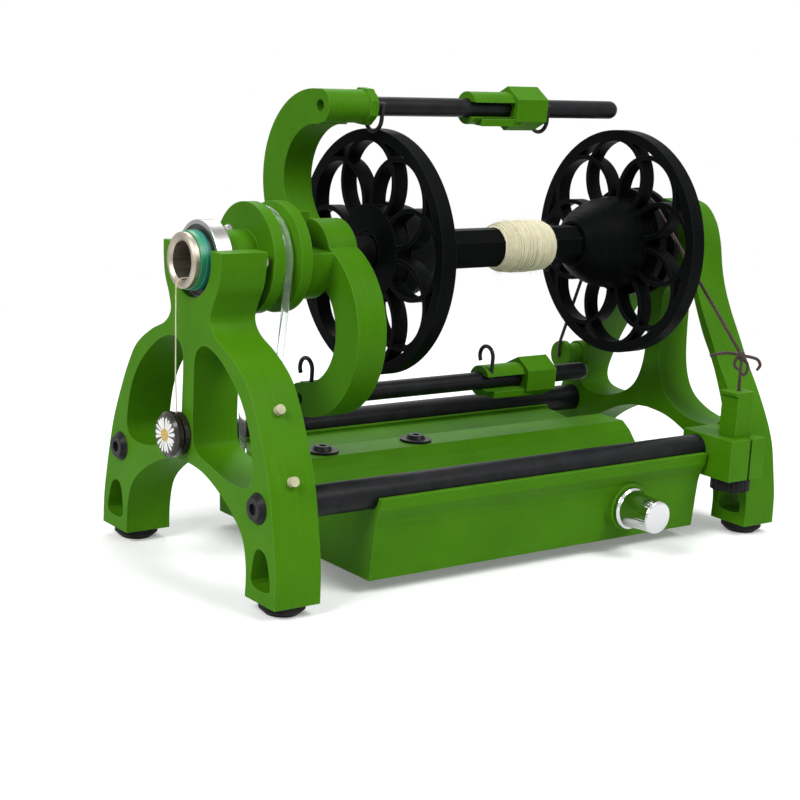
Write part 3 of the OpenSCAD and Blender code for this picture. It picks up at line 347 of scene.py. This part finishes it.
def chromeMaterial(s):
    g = Graph("polished_chrome")
    smudge = g.noise(260, 5.0, 0.6)
    normal = g.relief(g.noise(4000, 2.0), 0.04, 0.03, g.roundEdge(0.3, 6))
    rough = g.ramp(smudge, 0.3, 0.75, *s["rough"])
    g.finish(Base_Color=s["tone"], Metallic=1.0, Roughness=rough, Normal=normal)


chromeMaterial(chromeSettings)

# What each node of the frame is made of
nodeFinishes = {
    "green_print_x": (
        "front_upright", "rear_upright", "whorl_pulley", "flyer_yoke", "fixed_guide",
        "slide_clip_top", "slide_clip_bottom", "brake_clamp", "brake_anchor",
    ),
    "green_print_z": ("housing_front", "housing_rear", "bottom_cover", "brake_post"),
    "black_print_x": ("bobbin_flange_front", "bobbin_flange_rear", "bobbin_core", "motor_pulley"),
    "black_print_z": ("motor_clamp", "board_bracket"),
    "moulded_black": ("brake_thumbwheel", "power_jack", "axle_spacers"),
    "black_rod": ("base_rod_left", "base_rod_right", "flyer_rod_top", "flyer_rod_bottom"),
    "black_oxide": ("rod_end_screws", "bottom_cover_screws", "housing_top_screws"),
    "black_wire": ("fixed_wires", "slide_eye", "slide_hook"),
    "screw_steel": ("motor_screws", "whorl_screws"),
    "machined_steel": (
        "motor_shaft", "front_bearing_inner", "axle_shaft", "rear_bearing", "potentiometer_shaft",
    ),
    "front_bearing": ("front_bearing_outer",),
    "orifice_collar": ("orifice_collar",),
    "orifice_steel": ("orifice_tube",),
    "motor_can": ("motor_body",),
    "bronze": ("bobbin_bushes",),
    "clear_belt": ("drive_belt",),
    "pale_pin": ("leg_pins",),
    "button_resin": ("magnet_button_base", "magnet_button_cap"),
    "circuit_board": ("control_board",),
    "potentiometer_case": ("speed_potentiometer",),
    "polished_chrome": ("speed_knob",),
    "rubber": (
        "rubber_foot_front_left", "rubber_foot_front_right", "rubber_foot_rear_left",
        "rubber_foot_rear_right", "brake_cord",
    ),
    "spacer_white": ("button_daisy", "yarn_core", "yarn_winding", "yarn_end"),
}
for finish, names in nodeFinishes.items():
    for name in names:
        nodes[name].data.materials.clear()
        nodes[name].data.materials.append(finishes[finish])
print("stage: materials on CAD nodes")


# Meshes: tubes swept along a path, and pieces joined into one
def addMesh(name, verts, faces, material, uvs=None):
    mesh = bpy.data.meshes.new(name)
    mesh.from_pydata([tuple(v) for v in verts], [], faces)
    if uvs:
        layer = mesh.uv_layers.new(name="UVMap")
        for loop in mesh.loops:
            layer.data[loop.index].uv = uvs[loop.vertex_index]
    return addObject(name, mesh, material)


def addObject(name, mesh, material):
    mesh.materials.append(material)
    mesh.polygons.foreach_set("use_smooth", [True] * len(mesh.polygons))
    mesh.update()
    obj = bpy.data.objects.new(name, mesh)
    bpy.context.scene.collection.objects.link(obj)
    return obj


def carry(pieces, body):
    for piece in pieces:
        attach(piece, body)


def bandFaces(rows, sides):  # the faces between rings of points
    faces = []
    for i in range(rows - 1):
        for k in range(sides):
            a, b = i * sides + k, i * sides + (k + 1) % sides
            faces.append((a, b, b + sides, a + sides))
    return faces


# Each ring turns as little as it can from the one before; the radius may be a function
def sweep(points, radius, sides):
    pts = [Vector(p) for p in points]
    count = len(pts)
    verts, uvs = [], []
    side = (pts[1] - pts[0]).normalized().orthogonal().normalized()
    run = 0.0
    for i, p in enumerate(pts):
        ahead = (pts[min(i + 1, count - 1)] - pts[max(i - 1, 0)]).normalized()
        side = (side - ahead * side.dot(ahead)).normalized()
        other = ahead.cross(side)
        run += (p - pts[i - 1]).length if i else 0.0
        r = radius(i / (count - 1)) if callable(radius) else radius
        for k in range(sides):
            a = fullTurn * k / sides
            verts.append(p + r * (math.cos(a) * side + math.sin(a) * other))
            uvs.append((run, k / sides))
    faces = bandFaces(count, sides)
    faces.append(tuple(range(sides - 1, -1, -1)))
    faces.append(tuple(range((count - 1) * sides, count * sides)))
    return verts, faces, uvs


def smoothPath(points, steps):  # a smooth curve through the points
    pts = [Vector(p) for p in points]
    last = len(pts) - 1
    out = []
    for i in range(last):
        a, b, c, d = pts[max(i - 1, 0)], pts[i], pts[i + 1], pts[min(i + 2, last)]
        for k in range(steps):
            t = k / steps
            square = (2 * a - 5 * b + 4 * c - d) * t * t
            cube = (3 * b - a - 3 * c + d) * t ** 3
            out.append(0.5 * (2 * b + (c - a) * t + square + cube))
    return out + [pts[-1]]


def joined(parts):
    verts, faces, uvs = [], [], []
    for partVerts, partFaces, partUvs in parts:
        base = len(verts)
        verts += partVerts
        uvs += partUvs
        faces += [tuple(i + base for i in face) for face in partFaces]
    return verts, faces, uvs


# Brake cord: from the anchor over the bobbin's groove to the post, with its knot
brakeSettings = {
    "x": 240.0, "ring": 22.95, "diameter": 0.0016, "knotUp": 16.0,
    "anchor": (49.0, 66.0), "anchorAhead": 3.0, "post": (248.0, -67.95, 70.55), "arcSteps": 16,
    "low": (0.035, 0.018, 0.011), "high": (0.07, 0.036, 0.02), "creaseShade": (0.008, 0.005, 0.004),
    "pitch": 2600.0,
}
knotSettings = {
    "strand": 0.00075, "loop": 1.5, "wave": 0.5, "tilts": (0.3, 1.4, 2.5), "twist": 0.6,
    "across": (0.8, -0.6),
    # each strand as distances out along that direction and up, in millimetres from the knot
    "ends": (
        ((-0.5, 0.0), (-4.0, 0.9), (-8.0, 0.9), (-11.5, 0.1), (-14.5, -0.7)),
        ((0.5, 0.0), (4.0, -0.4), (7.2, -1.4), (8.6, -3.9), (7.2, -6.4)),
        ((0.4, -1.0), (2.7, -3.6), (3.1, -6.6), (1.5, -8.7), (-0.2, -7.0)),
        ((-0.3, 0.0), (-2.4, -1.6), (-2.9, -4.6), (-0.9, -6.4)),
    ),
}


def braidMaterial(name, s):  # two sets of strands crossing round the cord
    g = Graph(name)
    along, side = g.alongAndRound()
    around = g.sum("MULTIPLY", side, 8 * math.pi)
    one = g.sum("SINE", g.sum("MULTIPLY_ADD", along, s["pitch"], around))
    two = g.sum("SINE", g.sum("MULTIPLY_ADD", along, s["pitch"], g.sum("MULTIPLY", around, -1.0)))
    weave = g.sum("MAXIMUM", one, two)
    fibre = g.noise(6000, 3.0, 0.7)
    tone = g.mix(g.ramp(g.noise(260, 3.0), 0.3, 0.7), s["low"], s["high"])
    # Painted shade: the gaps between the crossing strands are darkened to the crease shade tone
    tone = g.mix(g.ramp(weave, -0.2, 0.9), s["creaseShade"], tone)
    height = g.sum("MULTIPLY_ADD", weave, 0.8, g.sum("MULTIPLY", fibre, 0.5))
    return g.finish(Base_Color=tone, Roughness=0.7, Normal=g.relief(height, 0.8, 0.1),
                    Sheen_Weight=0.2, Specular_IOR_Level=0.3)


def tangentAngle(y, z, ring, side):
    return math.atan2(z, y) + side * math.acos(ring / math.hypot(y, z))


def brakeRoute(s):
    anchorX, (anchorY, anchorZ) = s["x"] + s["anchorAhead"], s["anchor"]
    postX, postY, postZ = s["post"]
    knotZ = postZ + s["knotUp"]
    left = tangentAngle(anchorY, anchorZ + 3 - axisUp, s["ring"], 1)
    right = tangentAngle(postY, knotZ - axisUp, s["ring"], -1)
    turn = (right - left) % fullTurn
    steps = s["arcSteps"]
    rise = [at(anchorX, anchorY, anchorZ - 1), at(anchorX, anchorY, anchorZ + 6)]
    arc = [roundAxis(s["x"], s["ring"], left + turn * i / steps) for i in range(steps + 1)]
    fall = [at(postX, postY, z) for z in (knotZ, postZ + 3, postZ - 6)]
    return rise + smoothPath(arc, 3) + fall


def makeKnot(s, place, material):
    strands = []
    for j, tilt in enumerate(s["tilts"]):
        turned = Matrix.Rotation(tilt, 3, "X") @ Matrix.Rotation(s["twist"] * j, 3, "Y")
        ring = []
        for i in range(19):
            a = fullTurn * i / 18
            p = Vector((s["loop"] * math.cos(a), s["loop"] * math.sin(a), s["wave"] * math.sin(2 * a + j)))
            ring.append(place + turned @ (p * mm))
        strands.append(sweep(ring, s["strand"], 8))
    acrossX, acrossY = s["across"]
    for end in s["ends"]:
        points = [place + Vector((acrossX * out, acrossY * out, up)) * mm for out, up in end]
        taper = lambda t: s["strand"] * (1 - 1.25 * max(0.0, t - 0.8))
        strands.append(sweep(smoothPath(points, 5), taper, 10))
    verts, faces, uvs = joined(strands)
    return addMesh("brake_cord_knot", verts, faces, material, uvs)


def makeBrakeCord(s):
    path = brakeRoute(s)
    material = braidMaterial("brown_cord", s)
    verts, faces, uvs = sweep(path, s["diameter"] / 2, 12)
    cord = addMesh("brake_cord_braid", verts, faces, material, uvs)
    postX, postY, postZ = s["post"]
    knot = makeKnot(knotSettings, at(postX, postY, postZ + s["knotUp"]), material)
    carry((cord, knot), "stand")
    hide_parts("brake_cord")


makeBrakeCord(brakeSettings)

# Cream wool: plies twisted along the thread, soft sheen, uneven colour and painted shade between the plies
woolSettings = {
    "low": (0.68, 0.64, 0.45), "high": (0.8, 0.77, 0.58), "creaseShade": (0.55, 0.5, 0.31),
    "twist": 5200.0, "bump": 0.7, "sheen": 0.4, "under": 1.0, "underReach": (0.001, 0.0008, 0.0006),
}


def woolMaterial(name, s):
    g = Graph(name)
    along, side = g.alongAndRound()
    twist = g.sum("MULTIPLY_ADD", along, s["twist"], g.sum("MULTIPLY", side, 4 * math.pi))
    ply = g.sum("ABSOLUTE", g.sum("SINE", twist))
    fibre = g.noise(5200, 4.0, 0.7)
    tone = g.mix(g.ramp(g.noise(420, 3.0), 0.3, 0.7), s["low"], s["high"])
    # Painted shade: the grooves between the plies are darkened to the crease shade tone
    tone = g.mix(g.ramp(ply, 0.0, 0.55), s["creaseShade"], tone)
    height = g.sum("MULTIPLY_ADD", ply, 1.4, g.sum("MULTIPLY", fibre, 0.8))
    return g.finish(Base_Color=tone, Roughness=0.85, Normal=g.relief(height, s["bump"], 0.1),
                    Sheen_Weight=s["sheen"], Sheen_Roughness=0.4, Subsurface_Weight=s["under"],
                    Subsurface_Radius=s["underReach"], Specular_IOR_Level=0.2)


wool = woolMaterial("cream_wool", woolSettings)


# One loose fibre: a thin three-sided tube that wanders from its root
def hair(start, direction, length, rng, radius):
    points, p, d = [start.copy()], start.copy(), direction.normalized()
    for i in range(5):
        sway = Vector((rng.uniform(-1, 1), rng.uniform(-1, 1), rng.uniform(-1, 1)))
        d = (d + sway * 0.45).normalized()
        p = p + d * length / 5
        points.append(p.copy())
    return sweep(points, lambda t: radius * (1 - 0.6 * t), 3)


# The spun end, from inside the orifice over its lip and down to the button
spunSettings = {
    "diameter": 0.0006, "fibres": 26, "fibre": 0.00002, "seed": 11,
    "route": (
        (8, 0, 122.8), (2, 0, 122.8), (-2.3, 0, 122.9), (-4.9, 0, 122.6), (-6.2, 0, 121.2), (-6.6, 0, 118),
        (-5.6, 1, 100), (-4.3, 2.4, 82), (-3.3, 3.2, 72), (-3.075, 3.4, 67), (-3.075, 3.6, 62.6),
    ),
}


def makeSpunEnd(s):
    path = smoothPath([at(*p) for p in s["route"]], 6)
    verts, faces, uvs = sweep(path, s["diameter"] / 2, 10)
    end = addMesh("spun_end", verts, faces, wool, uvs)
    rng = random.Random(s["seed"])
    hairs = []
    for i in range(s["fibres"]):
        root = path[rng.randrange(14, len(path) - 8)]
        outward = Vector((rng.uniform(-1, 1), rng.uniform(-1, 1), rng.uniform(-0.6, 0.6)))
        hairs.append(hair(root, outward, rng.uniform(0.001, 0.003), rng, s["fibre"]))
    verts, faces, uvs = joined(hairs)
    fuzz = addMesh("spun_end_fuzz", verts, faces, wool, uvs)
    carry((end, fuzz), "stand")
    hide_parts("yarn_end")


makeSpunEnd(spunSettings)

# Wound yarn: one strand laid in passes over a body, each pass less even than the one below.
# A pass holds its turns, how far it lifts off the core and how far it strays
windingSettings = {
    "from": 154.5, "length": 30.0, "core": 9.9, "foot": 8.75, "bulge": 1.1, "thread": 0.36,
    "passes": ((38, 0.0, 0.15), (34, 0.5, 0.45), (27, 1.0, 0.9)), "stepsPerTurn": 26,
    "hairs": 460, "tailHairs": 7, "tailAngle": -1.9, "seed": 11,
}


def swelling(v):  # 0 at both ends of the winding, 1 in its middle
    return 1 - (2 * v - 1) ** 2


def strandPoints(s, rng):
    x0, x1 = s["from"], s["from"] + s["length"]
    lastPass = len(s["passes"]) - 1
    points = []
    angle = 0.4
    for number, (loops, lift, spread) in enumerate(s["passes"]):
        count = loops * s["stepsPerTurn"]
        lean = [rng.uniform(-1, 1) for _ in range(loops + 2)]
        inset = 1.2 + number * 1.1
        for i in range(count + (1 if number == lastPass else 0)):
            u = i / count
            k = int(u * loops)
            f = u * loops - k
            drift = lean[k] * (1 - f) + lean[k + 1] * f
            along = x0 + inset + (x1 - x0 - 2 * inset) * (u if number % 2 == 0 else 1 - u)
            along += spread * (drift + 0.5 * math.sin(angle + 1.3 * number) * lean[k])
            along = min(max(along, x0 + 0.5), x1 - 0.5)
            swell = s["bulge"] * swelling((along - x0) / (x1 - x0)) ** 0.8
            r = s["core"] + swell * (0.55 + 0.45 * lift) + lift * s["thread"] * 1.25
            r += 0.10 * lean[k] * min(1.0, number)
            points.append(roundAxis(along, r, angle))
            angle += fullTurn / s["stepsPerTurn"]
    return points


def makeStrand(s, rng):
    radius = s["thread"] * mm
    uneven = lambda t: radius * (1 + 0.12 * math.sin(900 * t) + 0.08 * math.sin(2311 * t))
    verts, faces, uvs = sweep(strandPoints(s, rng), uneven, 7)
    return addMesh("yarn_strand", verts, faces, wool, uvs)


# The body under the turns, with thin ends that lie on the core
def makeUnder(s):
    x0, x1 = s["from"], s["from"] + s["length"]
    profile = [(x0 + 0.2, s["foot"]), (x0 + 0.9, s["core"] - 0.1)]
    for i in range(9):
        v = i / 8
        r = s["core"] - 0.05 + s["bulge"] * 0.55 * swelling(v)
        profile.append((x0 + 1.4 + (s["length"] - 2.8) * v, r))
    profile += [(x1 - 0.9, s["core"] - 0.1), (x1 - 0.2, s["foot"])]
    sides = 96
    verts, uvs = [], []
    for x, r in profile:
        for k in range(sides):
            a = fullTurn * k / sides
            verts.append(roundAxis(x, r + 0.05 * math.sin(23 * a + x * 3), a))
            uvs.append((x * mm, k / sides))
    faces = [(a, d, c, b) for a, b, c, d in bandFaces(len(profile), sides)]
    return addMesh("yarn_under", verts, faces, wool, uvs)


def makeFuzz(s, rng):
    x0 = s["from"]
    hairs = []
    for i in range(s["hairs"]):
        u = rng.uniform(0.03, 0.97)
        a = rng.uniform(0, fullTurn)
        root = roundAxis(x0 + s["length"] * u, s["core"] + s["bulge"] * swelling(u) + 1.0, a)
        outX = rng.uniform(-1, 1)
        outY = math.cos(a) + rng.uniform(-0.8, 0.8)
        outZ = math.sin(a) + rng.uniform(-0.8, 0.8)
        hairs.append(hair(root, Vector((outX, outY, outZ)), rng.uniform(0.0008, 0.0026), rng, 0.00002))
    for i in range(s["tailHairs"]):
        a = fullTurn * i / s["tailHairs"]
        root = roundAxis(x0 + 3 + rng.uniform(-1, 1), s["core"] + 1.2, s["tailAngle"])
        trail = Vector((-0.9, 0.1 * math.cos(a), -0.5 + 0.1 * math.sin(a)))
        hairs.append(hair(root, trail, rng.uniform(0.004, 0.007), rng, 0.00003))
    verts, faces, uvs = joined(hairs)
    return addMesh("yarn_fuzz", verts, faces, wool, uvs)


def makeWinding(s):
    rng = random.Random(s["seed"])
    strand = makeStrand(s, rng)
    under = makeUnder(s)
    carry((strand, under, makeFuzz(s, rng)), "bobbin")
    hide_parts("yarn_winding")
    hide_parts("yarn_core")


makeWinding(windingSettings)
print("stage: cords and yarn")

# Polished knob: a bright skirt, a slow taper and a fluted end with a flat face.
# The profile holds distances from the housing and radii, in millimetres
knobSettings = {
    "x": 190.5, "z": 21.0, "skirt": 62.8, "sides": 240,
    "flutes": 40, "fluteDepth": 0.16, "fluteFrom": 11.5, "fluteTo": 16.9, "fadeIn": 1.2, "fadeOut": 0.4,
    "profile": (
        (0.0, 5.6), (0.0, 9.2), (0.25, 9.4), (1.0, 9.4), (1.35, 9.3), (1.6, 9.0), (1.75, 8.45), (2.0, 8.3),
        (2.4, 8.25), (3.2, 8.2), (5.0, 8.0), (7.0, 7.8), (9.0, 7.62), (11.0, 7.5), (13.0, 7.42),
        (15.0, 7.36), (16.6, 7.32), (17.0, 7.28), (17.2, 7.1), (17.35, 7.0), (17.45, 7.05), (17.6, 6.9),
        (17.7, 6.6), (17.7, 4.0), (17.7, 1.5), (17.7, 0.0),
    ),
}


def fluteAt(s, out, angle):
    if not s["fluteFrom"] < out < s["fluteTo"]:
        return 0.0
    fade = min(1.0, (out - s["fluteFrom"]) / s["fadeIn"]) * min(1.0, (s["fluteTo"] - out) / s["fadeOut"])
    return s["fluteDepth"] * fade * (0.5 + 0.5 * math.cos(s["flutes"] * angle))


def makeKnob(s):
    verts = []
    for out, radius in s["profile"]:
        for k in range(s["sides"]):
            a = fullTurn * k / s["sides"]
            r = radius - fluteAt(s, out, a)
            verts.append(at(s["x"] + r * math.cos(a), -s["skirt"] - out, s["z"] + r * math.sin(a)))
    faces = bandFaces(len(s["profile"]), s["sides"])
    knob = addMesh("chrome_knob", verts, faces, finishes["polished_chrome"])
    bm = bmesh.new()
    bm.from_mesh(knob.data)
    bmesh.ops.remove_doubles(bm, verts=bm.verts, dist=0.000005)  # closes the tip of the face
    bmesh.ops.recalc_face_normals(bm, faces=bm.faces)
    bm.to_mesh(knob.data)
    bm.free()
    carry((knob,), "speed_dial")
    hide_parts("speed_knob")


makeKnob(knobSettings)

# Daisy on the button: separate petals of different lengths round a grained centre
daisySettings = {
    "y": 5.0, "z": 58.5, "face": -6.95, "seed": 5,
    "petals": 19, "length": 7.9, "inner": 2.1, "lift": 0.42, "rows": 9, "cols": 5,
    "centre": 2.7, "centreBack": 0.3, "dome": 0.44, "grains": 90, "grain": 0.19, "spiral": 2.39996,
    "white": ((0.66, 0.66, 0.62), (0.86, 0.86, 0.83)), "gold": ((0.36, 0.22, 0.02), (0.62, 0.42, 0.045)),
}


def petalMaterial(s):
    g = Graph("daisy_white")
    tone = g.mix(g.noise(900, 4.0), *s["white"])
    normal = g.relief(g.noise(4200, 2.0), 0.35, 0.04)
    return g.finish(Base_Color=tone, Roughness=0.35, Normal=normal, Subsurface_Weight=0.1,
                    Coat_Weight=0.6, Coat_Roughness=0.08)


def centreMaterial(s):
    g = Graph("daisy_gold")
    cloud = g.noise(1800, 4.0)
    tone = g.mix(g.ramp(cloud, 0.35, 0.65), *s["gold"])
    return g.finish(Base_Color=tone, Roughness=0.4, Normal=g.relief(cloud, 0.6, 0.06),
                    Coat_Weight=0.6, Coat_Roughness=0.08)


# One petal has a raised grid in front, the same grid flat behind, and a rim between them
def petalFaces(base, rows, cols):
    faces = []
    back = rows * cols
    for side in (0, 1):
        o = base + side * back
        for m in range(rows - 1):
            for n in range(cols - 1):
                a, b = o + m * cols + n, o + (m + 1) * cols + n
                quad = (a, a + 1, b + 1, b)
                faces.append(quad if side == 0 else quad[::-1])
    rim = [m * cols for m in range(rows)]
    rim += [(rows - 1) * cols + n for n in range(1, cols)]
    rim += [m * cols + cols - 1 for m in range(rows - 2, -1, -1)]
    rim += list(range(cols - 2, 0, -1))
    for here, following in zip(rim, rim[1:] + rim[:1]):
        p, q = base + here, base + following
        faces.append((p, q, q + back, p + back))
    return faces


def petalVerts(s, rng, number):
    a = fullTurn * number / s["petals"] + rng.uniform(-0.05, 0.05)
    length = s["length"] * rng.uniform(0.9, 1.0)
    half = rng.uniform(0.62, 0.85)
    lift = s["lift"] * rng.uniform(0.75, 1.0)
    verts = []
    for raised in (lift, 0.0):
        for m in range(s["rows"]):
            t = m / (s["rows"] - 1)
            along = s["inner"] + (length - s["inner"]) * t
            tip = max(0.0, (t - 0.72) / 0.28)
            width = half * (0.45 + 0.75 * t) * math.sqrt(max(0.0, 1 - tip ** 2) + 0.02)
            crown = 0.35 + 0.65 * math.sin(math.pi * min(1.0, t * 0.9 + 0.1))
            for n in range(s["cols"]):
                w = (n / (s["cols"] - 1) - 0.5) * 2
                up = raised * crown * (1 - 0.45 * w * w)
                y = s["y"] + along * math.cos(a) - width * w * math.sin(a)
                z = s["z"] + along * math.sin(a) + width * w * math.cos(a)
                verts.append(at(s["face"] - up, y, z))
    return verts


def makePetals(s):
    rng = random.Random(s["seed"])
    verts, faces = [], []
    for i in range(s["petals"]):
        faces += petalFaces(len(verts), s["rows"], s["cols"])
        verts += petalVerts(s, rng, i)
    return addMesh("daisy_petals", verts, faces, petalMaterial(s))


# A low dome set with small grains in a spiral
def makeCentre(s):
    front = s["face"] - s["centreBack"]
    bm = bmesh.new()
    bmesh.ops.create_uvsphere(bm, u_segments=40, v_segments=20, radius=1.0)
    for v in bm.verts:
        v.co = at(front - s["dome"] * v.co.x, s["y"] + s["centre"] * v.co.y, s["z"] + s["centre"] * v.co.z)
    for i in range(s["grains"]):
        t = (i + 0.5) / s["grains"]
        r, a = s["centre"] * math.sqrt(t) * 0.96, i * s["spiral"]
        top = front - s["dome"] * math.sqrt(max(0.0, 1 - t * 0.92))
        made = bmesh.ops.create_icosphere(bm, subdivisions=1, radius=s["grain"] * mm)
        seat = at(top + 0.03, s["y"] + r * math.cos(a), s["z"] + r * math.sin(a))
        bmesh.ops.translate(bm, verts=made["verts"], vec=seat)
    mesh = bpy.data.meshes.new("daisy_centre")
    bm.to_mesh(mesh)
    bm.free()
    return addObject("daisy_centre", mesh, centreMaterial(s))


def makeDaisy(s):
    petals = makePetals(s)
    carry((petals, makeCentre(s)), "stand")
    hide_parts("button_daisy")


makeDaisy(daisySettings)
print("stage: knob and daisy")

# Floor and light: everything behind the object is white, and only its shadow shows.
# A lamp holds its name, its place, its width and its power
stageSettings = {
    "floor": 0.8, "glow": 0.2, "near": 0.3, "far": 0.62, "world": 0.3, "size": 6.0, "aim": (0, 0, 0.1),
    "lamps": (
        ("key", (0.42, -1.1, 1.35), 0.8, 21.0),
        ("front", (-1.25, -0.3, 1.1), 0.7, 21.0),
        ("back", (0.35, 1.0, 1.3), 1.0, 15.0),
    ),
}


def directRays(tree):  # 1 for what the camera sees, straight, mirrored or through glass
    path = tree.nodes.new("ShaderNodeLightPath")
    result = path.outputs["Is Camera Ray"]
    for name in ("Is Glossy Ray", "Is Transmission Ray"):
        larger = tree.nodes.new("ShaderNodeMath")
        larger.operation = "MAXIMUM"
        tree.links.new(result, larger.inputs[0])
        tree.links.new(path.outputs[name], larger.inputs[1])
        result = larger.outputs[0]
    return result


def makeWorld(s):
    world = bpy.data.worlds.new("studio")
    world.use_nodes = True
    tree = world.node_tree
    background = tree.nodes["Background"]
    background.inputs["Color"].default_value = (1, 1, 1, 1)
    level = tree.nodes.new("ShaderNodeMapRange")
    tree.links.new(directRays(tree), level.inputs["Value"])
    level.inputs["To Min"].default_value, level.inputs["To Max"].default_value = s["world"], 1.0
    tree.links.new(level.outputs["Result"], background.inputs["Strength"])
    bpy.context.scene.world = world


# The floor takes the shadow near the object and fades to plain white away from it
def floorMaterial(s):
    g = Graph("floor")
    distance = g.put("VectorMath", out="Value", settings={"operation": "LENGTH"}, i0=g.place())
    away = g.ramp(distance, s["near"], s["far"])
    pale = g.mix(g.noise(3.0, 2.0), (s["floor"],) * 3, (s["floor"] + 0.02,) * 3)
    tone = g.mix(away, pale, (0.0, 0.0, 0.0))
    glow = g.sum("MULTIPLY", g.ramp(away, 0.0, 1.0, s["glow"], 1.0), directRays(g.tree))
    return g.finish(Base_Color=tone, Roughness=0.8, Emission_Color=(1.0, 1.0, 1.0),
                    Emission_Strength=glow, Specular_IOR_Level=0.0)


def makeFloor(s):
    mesh = bpy.data.meshes.new("floor")
    size = s["size"]
    corners = [(-size, -size, 0), (size, -size, 0), (size, size, 0), (-size, size, 0)]
    mesh.from_pydata(corners, [], [(0, 1, 2, 3)])
    floor = bpy.data.objects.new("floor", mesh)
    bpy.context.scene.collection.objects.link(floor)
    mesh.materials.append(floorMaterial(s))


def makeLamp(name, place, width, power, aim):
    data = bpy.data.lights.new(name, "AREA")
    data.shape, data.size, data.energy = "SQUARE", width, power
    lamp = bpy.data.objects.new(name, data)
    bpy.context.scene.collection.objects.link(lamp)
    lamp.location = place
    lamp.rotation_euler = (Vector(aim) - Vector(place)).to_track_quat("-Z", "Y").to_euler()


makeWorld(stageSettings)
makeFloor(stageSettings)
for lamp in stageSettings["lamps"]:
    makeLamp(*lamp, stageSettings["aim"])
bpy.context.scene.view_settings.view_transform = "Standard"
print("stage: light and floor")
